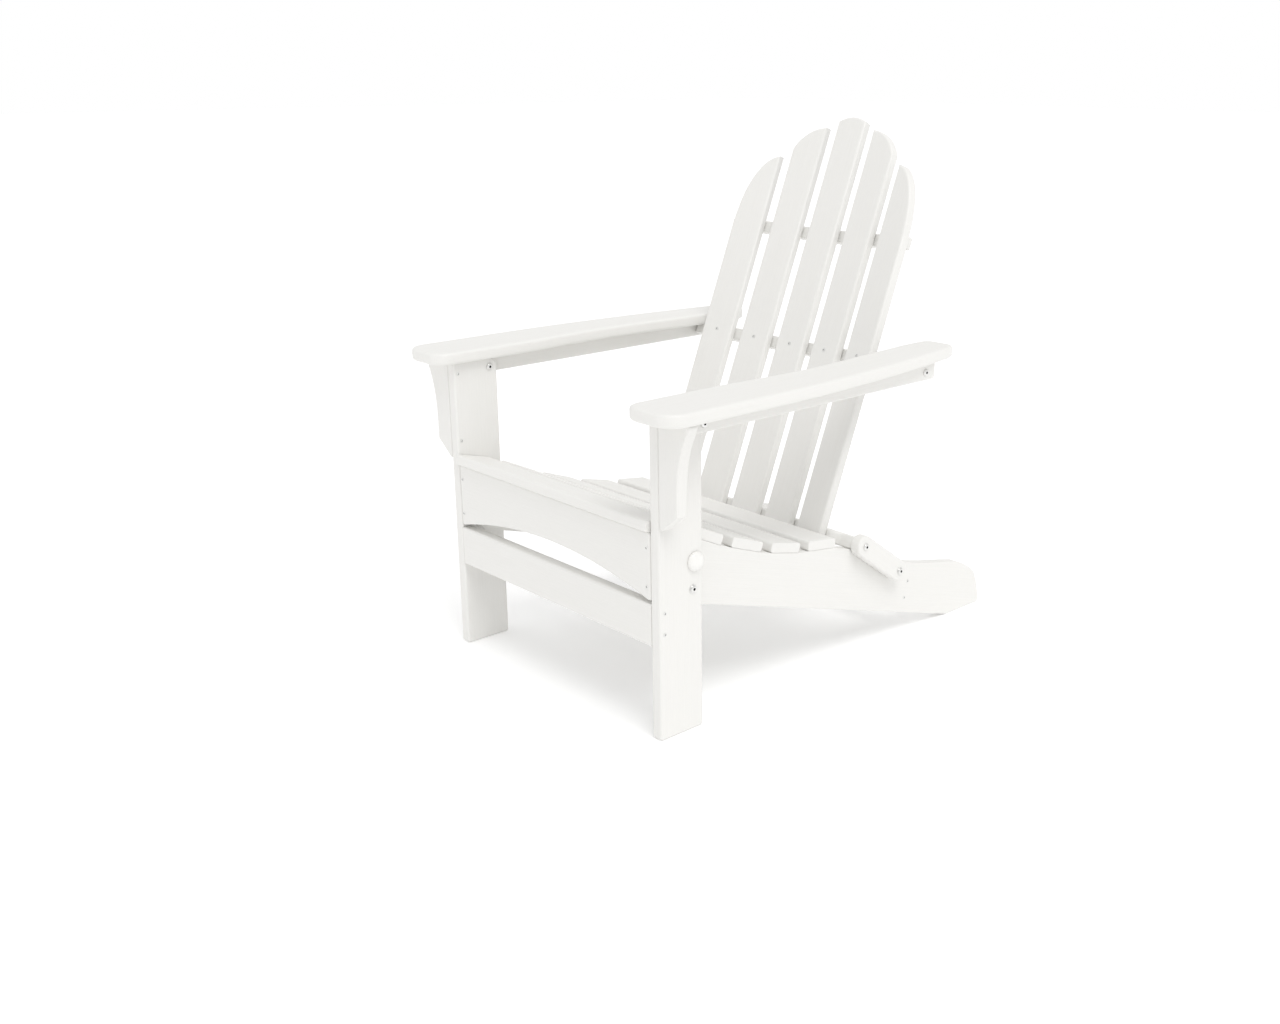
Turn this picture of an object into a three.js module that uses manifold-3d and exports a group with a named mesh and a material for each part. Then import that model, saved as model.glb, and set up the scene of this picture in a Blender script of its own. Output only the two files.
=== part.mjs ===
// Folding adirondack chair in white plastic lumber. Millimetres, +Z up, the sitter faces -Y.
// The outlines below are measured from the front faces of the legs (y = 0) and the floor (z = 0);
// the whole chair is shifted at the end so that the origin is the bottom centre of its box.
import * as THREE from "three";
import { mergeVertices } from "three/addons/utils/BufferGeometryUtils.js";
import Module from "manifold-3d";

const wasm = await Module();
wasm.setup();

// Stock and fits.
const BOARD = 22; // thickness of legs, arms, rails, corbels, apron and stretchers
const SLAT = 18; // thickness of the seat and back slats
const BAR = 24; // thickness of the curved rails behind the back slats
const FIT = 0.3; // gap between pieces that touch
const RUNNING_FIT = 0.1; // gap round a shank that turns in its hole
const EDGE = 3; // small rounding of a sawn corner

// Faces of the upright side boards, counted out from the middle of the chair.
const SIDE_IN = 247.5;
const SIDE_OUT = SIDE_IN + BOARD;
const LEG_IN = 270.8;
const LEG_OUT = LEG_IN + BOARD - FIT;
const RAIL_IN = LEG_OUT + FIT;
const RAIL_OUT = RAIL_IN + BOARD;

// Legs.
const LEG_DEPTH = 93;
const ARM_BOTTOM = 549;
const LEG_TOP = ARM_BOTTOM - FIT;
const LEG_PIVOT = [76.4, 298];
const ARM_PIVOT = [76.4, 532];
const LOCK_BOLT = [72, 251];
const LEG_TOP_ROUND = 16.3;

// Front stretcher, between the legs.
const STRETCHER_HALF = LEG_IN - FIT;
const STRETCHER_BOTTOM = 163;
const STRETCHER_TOP = 236;

// Apron, between the legs under the front seat slat.
const APRON_HALF = 270;
const APRON_END_BOTTOM = 240;
const APRON_RISE = 37;
const APRON_TOP_BLANK = 366;
const ARCH_STEPS = 24;

// Seat slats: top edge of the front and of the rear of each slat, as [y, z].
const SEAT_SLATS = [
  [[-6, 379], [66, 361]],
  [[93.5, 349.5], [164.5, 316]],
  [[187, 307], [258, 281]],
  [[280.5, 274], [351.5, 257]],
  [[374, 254], [445, 244]],
];
const SEAT_HALF = SIDE_OUT;
const NOSE_ROUND = 8;

// Side boards: sloping underside, flat rear foot and rounded tail.
const SIDE_FRONT = BOARD + FIT;
const SIDE_CHAMFER = [[SIDE_FRONT, 243], [34, 230.1]];
const SIDE_FOOT_START = 786.7;
const SIDE_TAIL = [
  [889, 0], [893, 5], [892, 16], [888, 30], [883, 49], [874, 69], [863, 80], [851, 88],
  [833, 98], [816, 106], [782, 114], [750, 121], [718, 128], [686, 136], [655, 145],
  [639, 150], [512, 201.5], [483, 213.5], [452, 222.5],
];

// Rear stretcher, square to the slope of the side boards.
const REAR_CENTRE = [653, 89];
const REAR_TALL = 68;
const SIDE_SLOPE = 17;

// Corbels: outer edge as [x, z], from the top down.
const CORBEL_EDGE = [
  [364, LEG_TOP], [357, 530], [352, 520], [348, 509], [344.5, 498], [339.5, 476],
  [337, 454], [336.3, 431], [336, 397],
];
const CORBEL_TOE = 363;

// Arm rails and arms.
const ARM_RAIL_BOTTOM = 516.5;
const ARM_RAIL_FRONT = 28;
const ARM_RAIL_REAR = 656;
const ARM_RAIL_ROUND = 8;
const ARM_FRONT = -42;
const ARM_REAR = 716;
const ARM_OUTER = 370;
const ARM_CORNER = 40;
const ARM_INNER_FRONT = 256;
const ARM_INNER_REAR = 244;
const ARM_STRAIGHT_END = 150;
const ARM_OUTER_CURVE = [[367, 284], [359, 395], [346, 521], [331, 627], [321, 683]];
const ARM_INNER_CURVE = [
  [247, 610], [254, 535], [262, 440], [267, 350], [264, 260], [258, 180], [256, 110],
];
const ARM_REAR_END = { outer: 296, outerBend: 315, inner: 264, side: 690 };
const ARM_HEEL = 645;
const ARM_INNER_CORNER = { side: -6, bend: 255, front: 296 };

// Back: it leans back from the upright and its slats stand round a wide arc.
const RECLINE = 21.85;
const BACK_ORIGIN = [469, 227.5];
const BACK_RADIUS = 1008;
const BACK_STEP = 5.42; // degrees from one slat to the next
const BACK_SLAT_WIDTH = 70;
const BACK_BOTTOM = -12;
const CROWN_STEPS = 12;
const CROWN_TOP = 802;
const CROWN_RADIUS = 66;
const SHOULDER = { x: 55, u: 695, radius: 83 };
const FLANK = { x: 150, u: 571, across: 73, up: 140 };

// Curved rails behind the back slats, as heights up the back.
const LOWER_RAIL = 4.5;
const MID_RAIL = 341.5;
const TOP_RAIL = 568.5;
const BAR_CLEAR = 1.1; // from the back of the slats to the curve of the rail
const BAR_REAR = 50;
const BAR_HALF = 226;
const NECK = 236;
const TONGUE_DEPTH = 34;
const TONGUE_RADIUS = 16;
const MID_RAIL_HALF = 291.5;
const LOWER_RAIL_HALF = 270;
const TOP_RAIL_HALF = 214;
const TOP_RAIL_DEPTH = 22;
const BAR_STEPS = 40;

// Links between the side boards and the lower rail.
const LINK_FOOT = [604, 146];
const LINK_RADIUS = 20;
const LINK_OUT = LEG_IN + BOARD - FIT;

// Bolts, screws, rings and caps.
const SHANK = 4;
const BORE = SHANK + RUNNING_FIT;
const HEAD = 6.5;
const HEAD_THICK = 3;
const RING = 8;
const RING_THICK = 0.8;
const WASHER = 12;
const LOCK_SHANK = 3.5;
const CAP = 16.5;
const CAP_HEIGHT = 10.5;
const CAP_STEPS = 8;
const CAP_SOCKET = 4.5;
const ROUND_STEPS = 40;

const COLOURS = { board: 0xf1f0eb, cap: 0xf4f3ef, steel: 0x8f9194 };
const radians = THREE.MathUtils.degToRad;
const X_AXIS = new THREE.Vector3(1, 0, 0);
const Y_AXIS = new THREE.Vector3(0, 1, 0);
const Z_AXIS = new THREE.Vector3(0, 0, 1);

// A board's outline is drawn flat and then stood up: side boards as (y, z) with thickness along x,
// front boards as (x, z) with thickness towards -y, top boards as (x, y) with thickness along z.
const STAND = {
  side: new THREE.Matrix4().makeBasis(Y_AXIS, Z_AXIS, X_AXIS),
  front: new THREE.Matrix4().makeBasis(X_AXIS, Z_AXIS, Y_AXIS.clone().negate()),
  top: new THREE.Matrix4(),
};

const chair = new THREE.Group();
chair.name = "adirondack_chair";

// Adds one named piece with a material of its own.
function add(name, geometry, colour, parent = chair) {
  const material = new THREE.MeshStandardMaterial({ color: COLOURS[colour], roughness: 0.5 });
  material.name = `${name}_${colour}`;
  const mesh = new THREE.Mesh(geometry, material);
  mesh.name = name;
  parent.add(mesh);
  return mesh;
}

// Adds a pair of pieces: the one drawn on the +X side and its mirror image.
function addPair(name, geometry, colour) {
  add(`${name}_left`, geometry, colour);
  add(`${name}_right`, mirrored(geometry), colour);
}

// The mirror image across the middle plane of the chair, with its faces turned back outwards.
function mirrored(geometry) {
  const copy = geometry.clone().applyMatrix4(new THREE.Matrix4().makeScale(-1, 1, 1));
  const flat = copy.index ? copy.toNonIndexed() : copy;
  const position = flat.getAttribute("position");
  const a = new THREE.Vector3();
  const b = new THREE.Vector3();
  for (let i = 0; i < position.count; i += 3) {
    a.fromBufferAttribute(position, i + 1);
    b.fromBufferAttribute(position, i + 2);
    position.setXYZ(i + 1, b.x, b.y, b.z);
    position.setXYZ(i + 2, a.x, a.y, a.z);
  }
  flat.deleteAttribute("normal");
  flat.deleteAttribute("uv");
  flat.computeVertexNormals();
  return flat;
}

// A closed outline through corners given as [a, b] or [a, b, radius]; round holes as [a, b, radius].
function outline(corners, holes = []) {
  const shape = new THREE.Shape();
  corners.forEach(([a, b, radius = 0], i) => {
    const corner = new THREE.Vector2(a, b);
    const before = new THREE.Vector2(...corners.at(i - 1)).sub(corner);
    const after = new THREE.Vector2(...corners[(i + 1) % corners.length]).sub(corner);
    const half = Math.acos(before.clone().normalize().dot(after.clone().normalize())) / 2;
    const run = radius / Math.tan(half);
    const start = before.setLength(run).add(corner);
    const end = after.setLength(run).add(corner);
    if (i === 0) shape.moveTo(start.x, start.y);
    else shape.lineTo(start.x, start.y);
    if (radius > 0) shape.quadraticCurveTo(corner.x, corner.y, end.x, end.y);
  });
  shape.closePath();
  return pierced(shape, holes);
}

// Adds round holes to an outline.
function pierced(shape, holes) {
  for (const [a, b, radius] of holes) {
    const hole = new THREE.Path();
    hole.absarc(a, b, radius, 0, 2 * Math.PI, true);
    shape.holes.push(hole);
  }
  return shape;
}

// A board: the outline given its thickness, stood up, and moved so that it starts at the offset.
function board(shape, thickness, stand, offset) {
  const geometry = new THREE.ExtrudeGeometry(shape, {
    depth: thickness,
    bevelEnabled: false,
    curveSegments: CROWN_STEPS,
  });
  return geometry.translate(0, 0, offset).applyMatrix4(STAND[stand]);
}

// A solid turned about the x axis through [y, z]; the profile is [x, radius] from axis to axis.
function turned(profile, [y, z]) {
  const geometry = new THREE.LatheGeometry(
    profile.map(([x, radius]) => new THREE.Vector2(radius, x)),
    ROUND_STEPS,
  );
  return geometry.rotateZ(-Math.PI / 2).translate(0, y, z);
}

function solid(geometry) {
  const bare = geometry.clone();
  bare.deleteAttribute("normal");
  bare.deleteAttribute("uv");
  const merged = mergeVertices(bare, 1e-4);
  return new wasm.Manifold(
    new wasm.Mesh({
      numProp: 3,
      vertProperties: merged.attributes.position.array,
      triVerts: new Uint32Array(merged.index.array),
    }),
  );
}

function meshed(manifold) {
  const mesh = manifold.getMesh();
  const geometry = new THREE.BufferGeometry();
  geometry.setAttribute("position", new THREE.BufferAttribute(mesh.vertProperties, 3));
  geometry.setIndex(new THREE.BufferAttribute(mesh.triVerts, 1));
  return geometry;
}

// A plain round bar along x through [y, z].
function rod(from, to, radius, [y, z]) {
  const geometry = new THREE.CylinderGeometry(radius, radius, to - from, ROUND_STEPS);
  return solid(geometry.rotateZ(-Math.PI / 2).translate((from + to) / 2, y, z));
}

// The four edges of a seat slat as [y, z] corners, from its top edge and its thickness.
function slatSection([front, rear]) {
  const along = new THREE.Vector2(rear[0] - front[0], rear[1] - front[1]).normalize();
  const down = new THREE.Vector2(along.y, -along.x).multiplyScalar(SLAT);
  return { front, rear, frontBottom: moved(front, down), rearBottom: moved(rear, down), along };
}

function moved([a, b], by) {
  return [a + by.x, b + by.y];
}

// Seat frame: side boards, apron, seat slats and rear stretcher.
const sections = SEAT_SLATS.map(slatSection);

function sideBoard() {
  const gap = (point) => [point[0], point[1] - FIT];
  const [first, ...others] = sections;
  const slope = first.along.y / first.along.x;
  const frontTop = gap(first.frontBottom)[1] + slope * (SIDE_FRONT - first.frontBottom[0]);
  const top = others.reverse().flatMap((s) => [gap(s.rearBottom), gap(s.frontBottom)]);
  return outline(
    [
      ...SIDE_CHAMFER,
      [SIDE_FOOT_START, 0],
      ...SIDE_TAIL,
      ...top,
      gap(first.rearBottom),
      [SIDE_FRONT, frontTop],
    ],
    [[...LEG_PIVOT, BORE], [...LINK_FOOT, BORE]],
  );
}

function apron() {
  const arch = [];
  for (let i = 0; i <= ARCH_STEPS; i++) {
    const x = -APRON_HALF + (2 * APRON_HALF * i) / ARCH_STEPS;
    arch.push([x, APRON_END_BOTTOM + APRON_RISE * (1 - (x / APRON_HALF) ** 2)]);
  }
  const blank = board(
    outline([...arch, [APRON_HALF, APRON_TOP_BLANK], [-APRON_HALF, APRON_TOP_BLANK]]),
    BOARD,
    "front",
    -BOARD,
  );
  const { frontBottom, along } = sections[0];
  const up = [0, -along.y, along.x];
  const height = up[1] * frontBottom[0] + up[2] * frontBottom[1] - FIT;
  return meshed(solid(blank).trimByPlane(up.map((v) => -v), -height));
}

function seatSlat({ front, rear, frontBottom, rearBottom }, nose) {
  const section = [
    [...front, nose], [...frontBottom, EDGE], [...rearBottom, EDGE], [...rear, EDGE],
  ];
  return board(outline(section), 2 * SEAT_HALF, "side", -SEAT_HALF);
}

function rearStretcher() {
  const up = new THREE.Vector2(0, REAR_TALL / 2).rotateAround(new THREE.Vector2(), -radians(SIDE_SLOPE));
  const across = new THREE.Vector2(BOARD / 2, 0).rotateAround(new THREE.Vector2(), -radians(SIDE_SLOPE));
  const corners = [[-1, -1], [1, -1], [1, 1], [-1, 1]].map(([a, b]) => [
    REAR_CENTRE[0] + a * across.x + b * up.x,
    REAR_CENTRE[1] + a * across.y + b * up.y,
    EDGE,
  ]);
  const half = SIDE_IN - FIT;
  return board(outline(corners), 2 * half, "side", -half);
}

addPair("side", board(sideBoard(), BOARD, "side", SIDE_IN), "board");
add("apron", apron(), "board");
sections.forEach((section, i) => {
  add(`seat_slat_${i + 1}`, seatSlat(section, i === 0 ? NOSE_ROUND : EDGE), "board");
});
add("rear_stretcher", rearStretcher(), "board");

// Legs with the stretcher between them and a corbel under each arm.
function leg() {
  const shape = new THREE.Shape();
  shape.moveTo(0, 0);
  shape.lineTo(LEG_DEPTH, 0);
  shape.lineTo(LEG_DEPTH, ARM_PIVOT[1]);
  shape.absarc(...ARM_PIVOT, LEG_TOP_ROUND, 0, Math.PI / 2, false);
  shape.lineTo(ARM_PIVOT[0], LEG_TOP);
  shape.lineTo(0, LEG_TOP);
  shape.closePath();
  return pierced(shape, [
    [...LEG_PIVOT, BORE],
    [...ARM_PIVOT, BORE],
    [...LOCK_BOLT, LOCK_SHANK + RUNNING_FIT],
  ]);
}

function frontStretcher() {
  const section = [
    [0, STRETCHER_BOTTOM, EDGE],
    [BOARD, STRETCHER_BOTTOM, EDGE],
    [BOARD, STRETCHER_TOP],
    [0, STRETCHER_TOP, EDGE],
  ];
  return board(outline(section), 2 * STRETCHER_HALF, "side", -STRETCHER_HALF);
}

function corbel() {
  const corners = [[RAIL_IN, CORBEL_TOE], ...CORBEL_EDGE.toReversed(), [RAIL_IN, LEG_TOP]];
  return board(outline(corners), BOARD, "front", -BOARD);
}

addPair("leg", board(leg(), BOARD - FIT, "side", LEG_IN), "board");
add("front_stretcher", frontStretcher(), "board");
addPair("corbel", corbel(), "board");

// Arms, each screwed down on a rail that hangs on the leg top and holds the back.
const toChair = new THREE.Matrix4()
  .makeRotationX(-radians(RECLINE))
  .setPosition(0, ...BACK_ORIGIN);

// The side view position [y, z] of a point of the back given as depth behind the slats and height up.
function onBack(depth, height) {
  const point = new THREE.Vector3(0, depth, height).applyMatrix4(toChair);
  return [point.y, point.z];
}

const BACK_PIVOT = onBack(TONGUE_DEPTH, MID_RAIL);
const LINK_TOP = onBack(TONGUE_DEPTH, LOWER_RAIL);

function armRail() {
  const corners = [
    [ARM_RAIL_FRONT, ARM_RAIL_BOTTOM, ARM_RAIL_ROUND],
    [ARM_RAIL_REAR, ARM_RAIL_BOTTOM, ARM_RAIL_ROUND],
    [ARM_RAIL_REAR, LEG_TOP],
    [ARM_RAIL_FRONT, LEG_TOP],
  ];
  return outline(corners, [[...ARM_PIVOT, BORE], [...BACK_PIVOT, BORE]]);
}

function arm() {
  const shape = new THREE.Shape();
  shape.moveTo(ARM_INNER_CORNER.front, ARM_FRONT);
  shape.lineTo(ARM_OUTER - ARM_CORNER, ARM_FRONT);
  shape.absarc(ARM_OUTER - ARM_CORNER, ARM_FRONT + ARM_CORNER, ARM_CORNER, -Math.PI / 2, 0, false);
  shape.lineTo(ARM_OUTER, ARM_STRAIGHT_END);
  shape.splineThru(ARM_OUTER_CURVE.map((point) => new THREE.Vector2(...point)));
  shape.quadraticCurveTo(ARM_REAR_END.outerBend, ARM_REAR, ARM_REAR_END.outer, ARM_REAR);
  shape.lineTo(ARM_REAR_END.inner, ARM_REAR);
  shape.quadraticCurveTo(ARM_INNER_REAR, ARM_REAR, ARM_INNER_REAR, ARM_REAR_END.side);
  shape.lineTo(ARM_INNER_REAR, ARM_HEEL);
  shape.splineThru(ARM_INNER_CURVE.map((point) => new THREE.Vector2(...point)));
  shape.lineTo(ARM_INNER_FRONT, ARM_INNER_CORNER.side);
  shape.quadraticCurveTo(ARM_INNER_CORNER.bend, ARM_FRONT, ARM_INNER_CORNER.front, ARM_FRONT);
  shape.closePath();
  return shape;
}

addPair("arm_rail", board(armRail(), BOARD, "side", RAIL_IN), "board");
addPair("arm", board(arm(), BOARD, "top", ARM_BOTTOM), "board");

// Back: five slats round an arc, three rails behind them.
const back = new THREE.Group();
back.applyMatrix4(toChair);
chair.add(back);

// Height of the top of a slat at a distance from the middle of the chair.
function crown(step, x) {
  if (step === 0) return CROWN_TOP - CROWN_RADIUS + Math.sqrt(CROWN_RADIUS ** 2 - x ** 2);
  if (step === 1) return SHOULDER.u + Math.sqrt(SHOULDER.radius ** 2 - (x - SHOULDER.x) ** 2);
  return FLANK.u + FLANK.up * Math.sqrt(Math.max(0, 1 - ((x - FLANK.x) / FLANK.across) ** 2));
}

function backSlat(step) {
  const turn = radians(step * BACK_STEP);
  const middle = BACK_RADIUS * Math.sin(Math.abs(turn));
  const half = BACK_SLAT_WIDTH / 2;
  const top = [];
  for (let i = 0; i <= CROWN_STEPS; i++) {
    const across = half * Math.cos((Math.PI * i) / CROWN_STEPS);
    top.push([Math.sign(step || 1) * across, crown(Math.abs(step), middle + across)]);
  }
  if (step < 0) top.reverse();
  const shape = outline([[-half, BACK_BOTTOM, EDGE], [half, BACK_BOTTOM, EDGE], ...top]);
  return board(shape, SLAT, "front", -SLAT)
    .translate(0, BACK_RADIUS, 0)
    .rotateZ(-turn)
    .translate(0, -BACK_RADIUS, 0);
}

// An arc round the middle of the back's curve, from one x to its mirror image.
function railArc(half, radius) {
  const curve = [];
  for (let i = 0; i <= BAR_STEPS; i++) {
    const x = half * (1 - (2 * i) / BAR_STEPS);
    curve.push([x, Math.sqrt(radius ** 2 - x ** 2) - BACK_RADIUS]);
  }
  return curve;
}

const RAIL_RADIUS = BACK_RADIUS + SLAT + BAR_CLEAR;

// The top rail is bent evenly, front and rear.
function topRail() {
  const rear = railArc(TOP_RAIL_HALF, RAIL_RADIUS + TOP_RAIL_DEPTH).toReversed();
  return board(
    outline([...rear, ...railArc(TOP_RAIL_HALF, RAIL_RADIUS)]), BAR, "top", TOP_RAIL - BAR / 2,
  );
}

// A rail: hollow curve in front, straight behind, narrowed to round tongues past the neck.
function backRail(height, half) {
  const curve = railArc(BAR_HALF, RAIL_RADIUS);
  const end = curve[0][1];
  const shape = outline([
    [-half, end], [-half, BAR_REAR, EDGE], [half, BAR_REAR, EDGE], [half, end], ...curve,
  ]);
  const blank = solid(board(shape, BAR, "top", height - BAR / 2));
  const body = solid(new THREE.BoxGeometry(2 * NECK, 4 * BAR_REAR, 2 * BAR).translate(0, 0, height));
  const tongue = rod(-half, half, TONGUE_RADIUS, [TONGUE_DEPTH, height]);
  const shaft = rod(half - BOARD - HEAD, half + BOARD, BORE, [TONGUE_DEPTH, height]);
  const other = rod(-half - BOARD, HEAD + BOARD - half, BORE, [TONGUE_DEPTH, height]);
  return meshed(blank.intersect(body.add(tongue)).subtract(shaft).subtract(other));
}

for (let step = -2; step <= 2; step++) {
  add(`back_slat_${step + 3}`, backSlat(step), "board", back);
}
add("back_rail_lower", backRail(LOWER_RAIL, LOWER_RAIL_HALF), "board", back);
add("back_rail_middle", backRail(MID_RAIL, MID_RAIL_HALF), "board", back);
add("back_rail_top", topRail(), "board", back);

// Links.
function link() {
  const along = Math.atan2(LINK_TOP[1] - LINK_FOOT[1], LINK_TOP[0] - LINK_FOOT[0]);
  const shape = new THREE.Shape();
  shape.absarc(...LINK_FOOT, LINK_RADIUS, along + Math.PI / 2, along - Math.PI / 2, false);
  shape.absarc(...LINK_TOP, LINK_RADIUS, along - Math.PI / 2, along + Math.PI / 2, false);
  shape.closePath();
  return pierced(shape, [[...LINK_FOOT, BORE], [...LINK_TOP, BORE]]);
}

addPair("link", board(link(), LINK_OUT - LEG_IN, "side", LEG_IN), "board");

// Bolts and screws: a shank from one x to another and a flat head, with a ring under it if wanted.
function bolt(tip, seat, at, shank, ring) {
  const under = ring ? [[seat, ring], [seat + RING_THICK, ring]] : [];
  const base = ring ? seat + RING_THICK : seat;
  return turned(
    [
      [tip, 0], [tip, shank], [seat, shank],
      ...under,
      [base, HEAD], [base + HEAD_THICK, HEAD - 1], [base + HEAD_THICK, 0],
    ],
    at,
  );
}

function washer() {
  const outer = rod(SIDE_OUT + FIT, LEG_IN - FIT, WASHER, LEG_PIVOT);
  return meshed(outer.subtract(rod(SIDE_IN, LEG_OUT, BORE, LEG_PIVOT)));
}

// The bolt the leg turns on, with its flat head inside the side board.
function legPivotBolt() {
  const head = SIDE_IN - FIT;
  return turned(
    [
      [head - HEAD_THICK, 0], [head - HEAD_THICK, HEAD], [head, HEAD], [head, SHANK],
      [LEG_OUT + CAP_SOCKET, SHANK], [LEG_OUT + CAP_SOCKET, 0],
    ],
    LEG_PIVOT,
  );
}

// The domed cap over the end of that bolt.
function cap() {
  const base = LEG_OUT + FIT;
  const dome = [];
  for (let i = 0; i <= CAP_STEPS; i++) {
    const angle = (Math.PI * i) / (2 * CAP_STEPS);
    dome.push([base + CAP_HEIGHT * Math.sin(angle), CAP * Math.cos(angle)]);
  }
  const blank = solid(turned([[base, 0], ...dome.slice(0, -1), [base + CAP_HEIGHT, 0]], LEG_PIVOT));
  return meshed(blank.subtract(rod(LEG_IN, LEG_OUT + CAP_SOCKET + FIT, BORE, LEG_PIVOT)));
}

// The half of the arm bolt that stays in the leg, with its ring on the inner face.
function armNut() {
  const face = LEG_IN - FIT;
  return turned(
    [
      [face - HEAD_THICK, 0], [face - HEAD_THICK, HEAD - 1], [face, HEAD], [face, SHANK],
      [LEG_OUT - FIT, SHANK], [LEG_OUT - FIT, 0],
    ],
    ARM_PIVOT,
  );
}

addPair("leg_pivot_bolt", legPivotBolt(), "steel");
addPair("leg_pivot_washer", washer(), "steel");
addPair("leg_pivot_cap", cap(), "cap");
addPair("lock_bolt", bolt(LEG_IN + FIT, LEG_OUT + FIT, LOCK_BOLT, LOCK_SHANK, RING), "steel");
addPair("arm_bolt", bolt(RAIL_IN + FIT, RAIL_OUT + FIT, ARM_PIVOT, SHANK, 0), "steel");
addPair("arm_nut", armNut(), "steel");
addPair("back_bolt", bolt(MID_RAIL_HALF - BOARD, RAIL_OUT + FIT, BACK_PIVOT, SHANK, 0), "steel");
addPair("link_foot_bolt", bolt(SIDE_IN + FIT, LINK_OUT + FIT, LINK_FOOT, SHANK, RING), "steel");
addPair("link_top_bolt", bolt(LOWER_RAIL_HALF - BOARD, LINK_OUT + FIT, LINK_TOP, SHANK, 0), "steel");

// The origin is the bottom centre of the chair's box.
const box = new THREE.Box3().setFromObject(chair, true);
chair.position.y = -(box.min.y + box.max.y) / 2;

export default chair;
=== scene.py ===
"""White folding adirondack chair in plastic lumber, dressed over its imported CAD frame.

Lengths in the classes are millimetres unless a name says otherwise. The sitter faces -Y and +Z is up.
"""

import logging
import math
from dataclasses import dataclass, field
from enum import Enum

import bmesh
import bpy
from mathutils import Matrix, Vector


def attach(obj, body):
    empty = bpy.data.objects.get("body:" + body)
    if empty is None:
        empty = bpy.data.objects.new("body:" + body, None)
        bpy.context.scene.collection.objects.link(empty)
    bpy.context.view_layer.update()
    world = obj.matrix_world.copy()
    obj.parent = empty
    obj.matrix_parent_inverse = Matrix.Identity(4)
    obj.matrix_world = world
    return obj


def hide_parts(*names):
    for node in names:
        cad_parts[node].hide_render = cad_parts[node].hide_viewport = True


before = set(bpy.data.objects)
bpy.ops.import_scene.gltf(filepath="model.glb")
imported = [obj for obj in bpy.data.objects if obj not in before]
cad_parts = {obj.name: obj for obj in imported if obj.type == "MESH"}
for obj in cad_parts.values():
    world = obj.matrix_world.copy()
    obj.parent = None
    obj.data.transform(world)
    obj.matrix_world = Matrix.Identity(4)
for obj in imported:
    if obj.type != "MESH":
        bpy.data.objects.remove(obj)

LOG = logging.getLogger("adirondack_chair")
MM = 0.001
MIDDLE_Y = 425.5  # from the front faces of the legs back to the middle of the chair's box
Loop = list[tuple[float, float]]


def linear(code: str) -> tuple[float, float, float, float]:
    """Turns an sRGB hex colour into the linear RGBA that shaders take.

    Args:
        code: six hex digits, such as "F2F1EC".

    Returns:
        Red, green, blue and alpha, each from 0 to 1.
    """
    channels = [int(code[i : i + 2], 16) / 255 for i in (0, 2, 4)]
    low = [c / 12.92 if c <= 0.04045 else ((c + 0.055) / 1.055) ** 2.4 for c in channels]
    return (low[0], low[1], low[2], 1.0)


def add_node(
    tree: bpy.types.NodeTree, kind: str, inputs: dict | None = None, **settings: object
) -> bpy.types.Node:
    """Adds a node with its settings, constants and links.

    Args:
        tree: the shader or geometry tree that gets the node.
        kind: the node's type, such as "ShaderNodeMath".
        inputs: a value or an output socket for each input, by name or by number.
        settings: the node's own properties.

    Returns:
        The new node.
    """
    node = tree.nodes.new(kind)
    for name, value in settings.items():
        setattr(node, name, value)
    for key, value in (inputs or {}).items():
        if isinstance(value, bpy.types.NodeSocket):
            tree.links.new(value, node.inputs[key])
        else:
            node.inputs[key].default_value = value
    return node


class Grain(Enum):
    """The way the grain of a board runs, as the turn in degrees that lays it along X."""

    ACROSS = (0.0, 0.0, 0.0)
    DEEP = (0.0, 0.0, -90.0)
    UPRIGHT = (0.0, 90.0, 0.0)
    LEANING = (21.85, 90.0, 0.0)
    SLOPING = (17.0, 0.0, -90.0)
    LINKED = (35.6, 0.0, -90.0)


class Stand(Enum):
    """How a flat board outline is stood up: the chair's axes for its two sides and its thickness."""

    SIDE = ((0, 1, 0), (0, 0, 1), (1, 0, 0))
    FRONT = ((1, 0, 0), (0, 0, 1), (0, -1, 0))
    TOP = ((1, 0, 0), (0, 1, 0), (0, 0, 1))

    def matrix(self) -> Matrix:
        """Returns the turn from the flat outline to the chair."""
        return Matrix(self.value).transposed().to_4x4()


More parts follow.
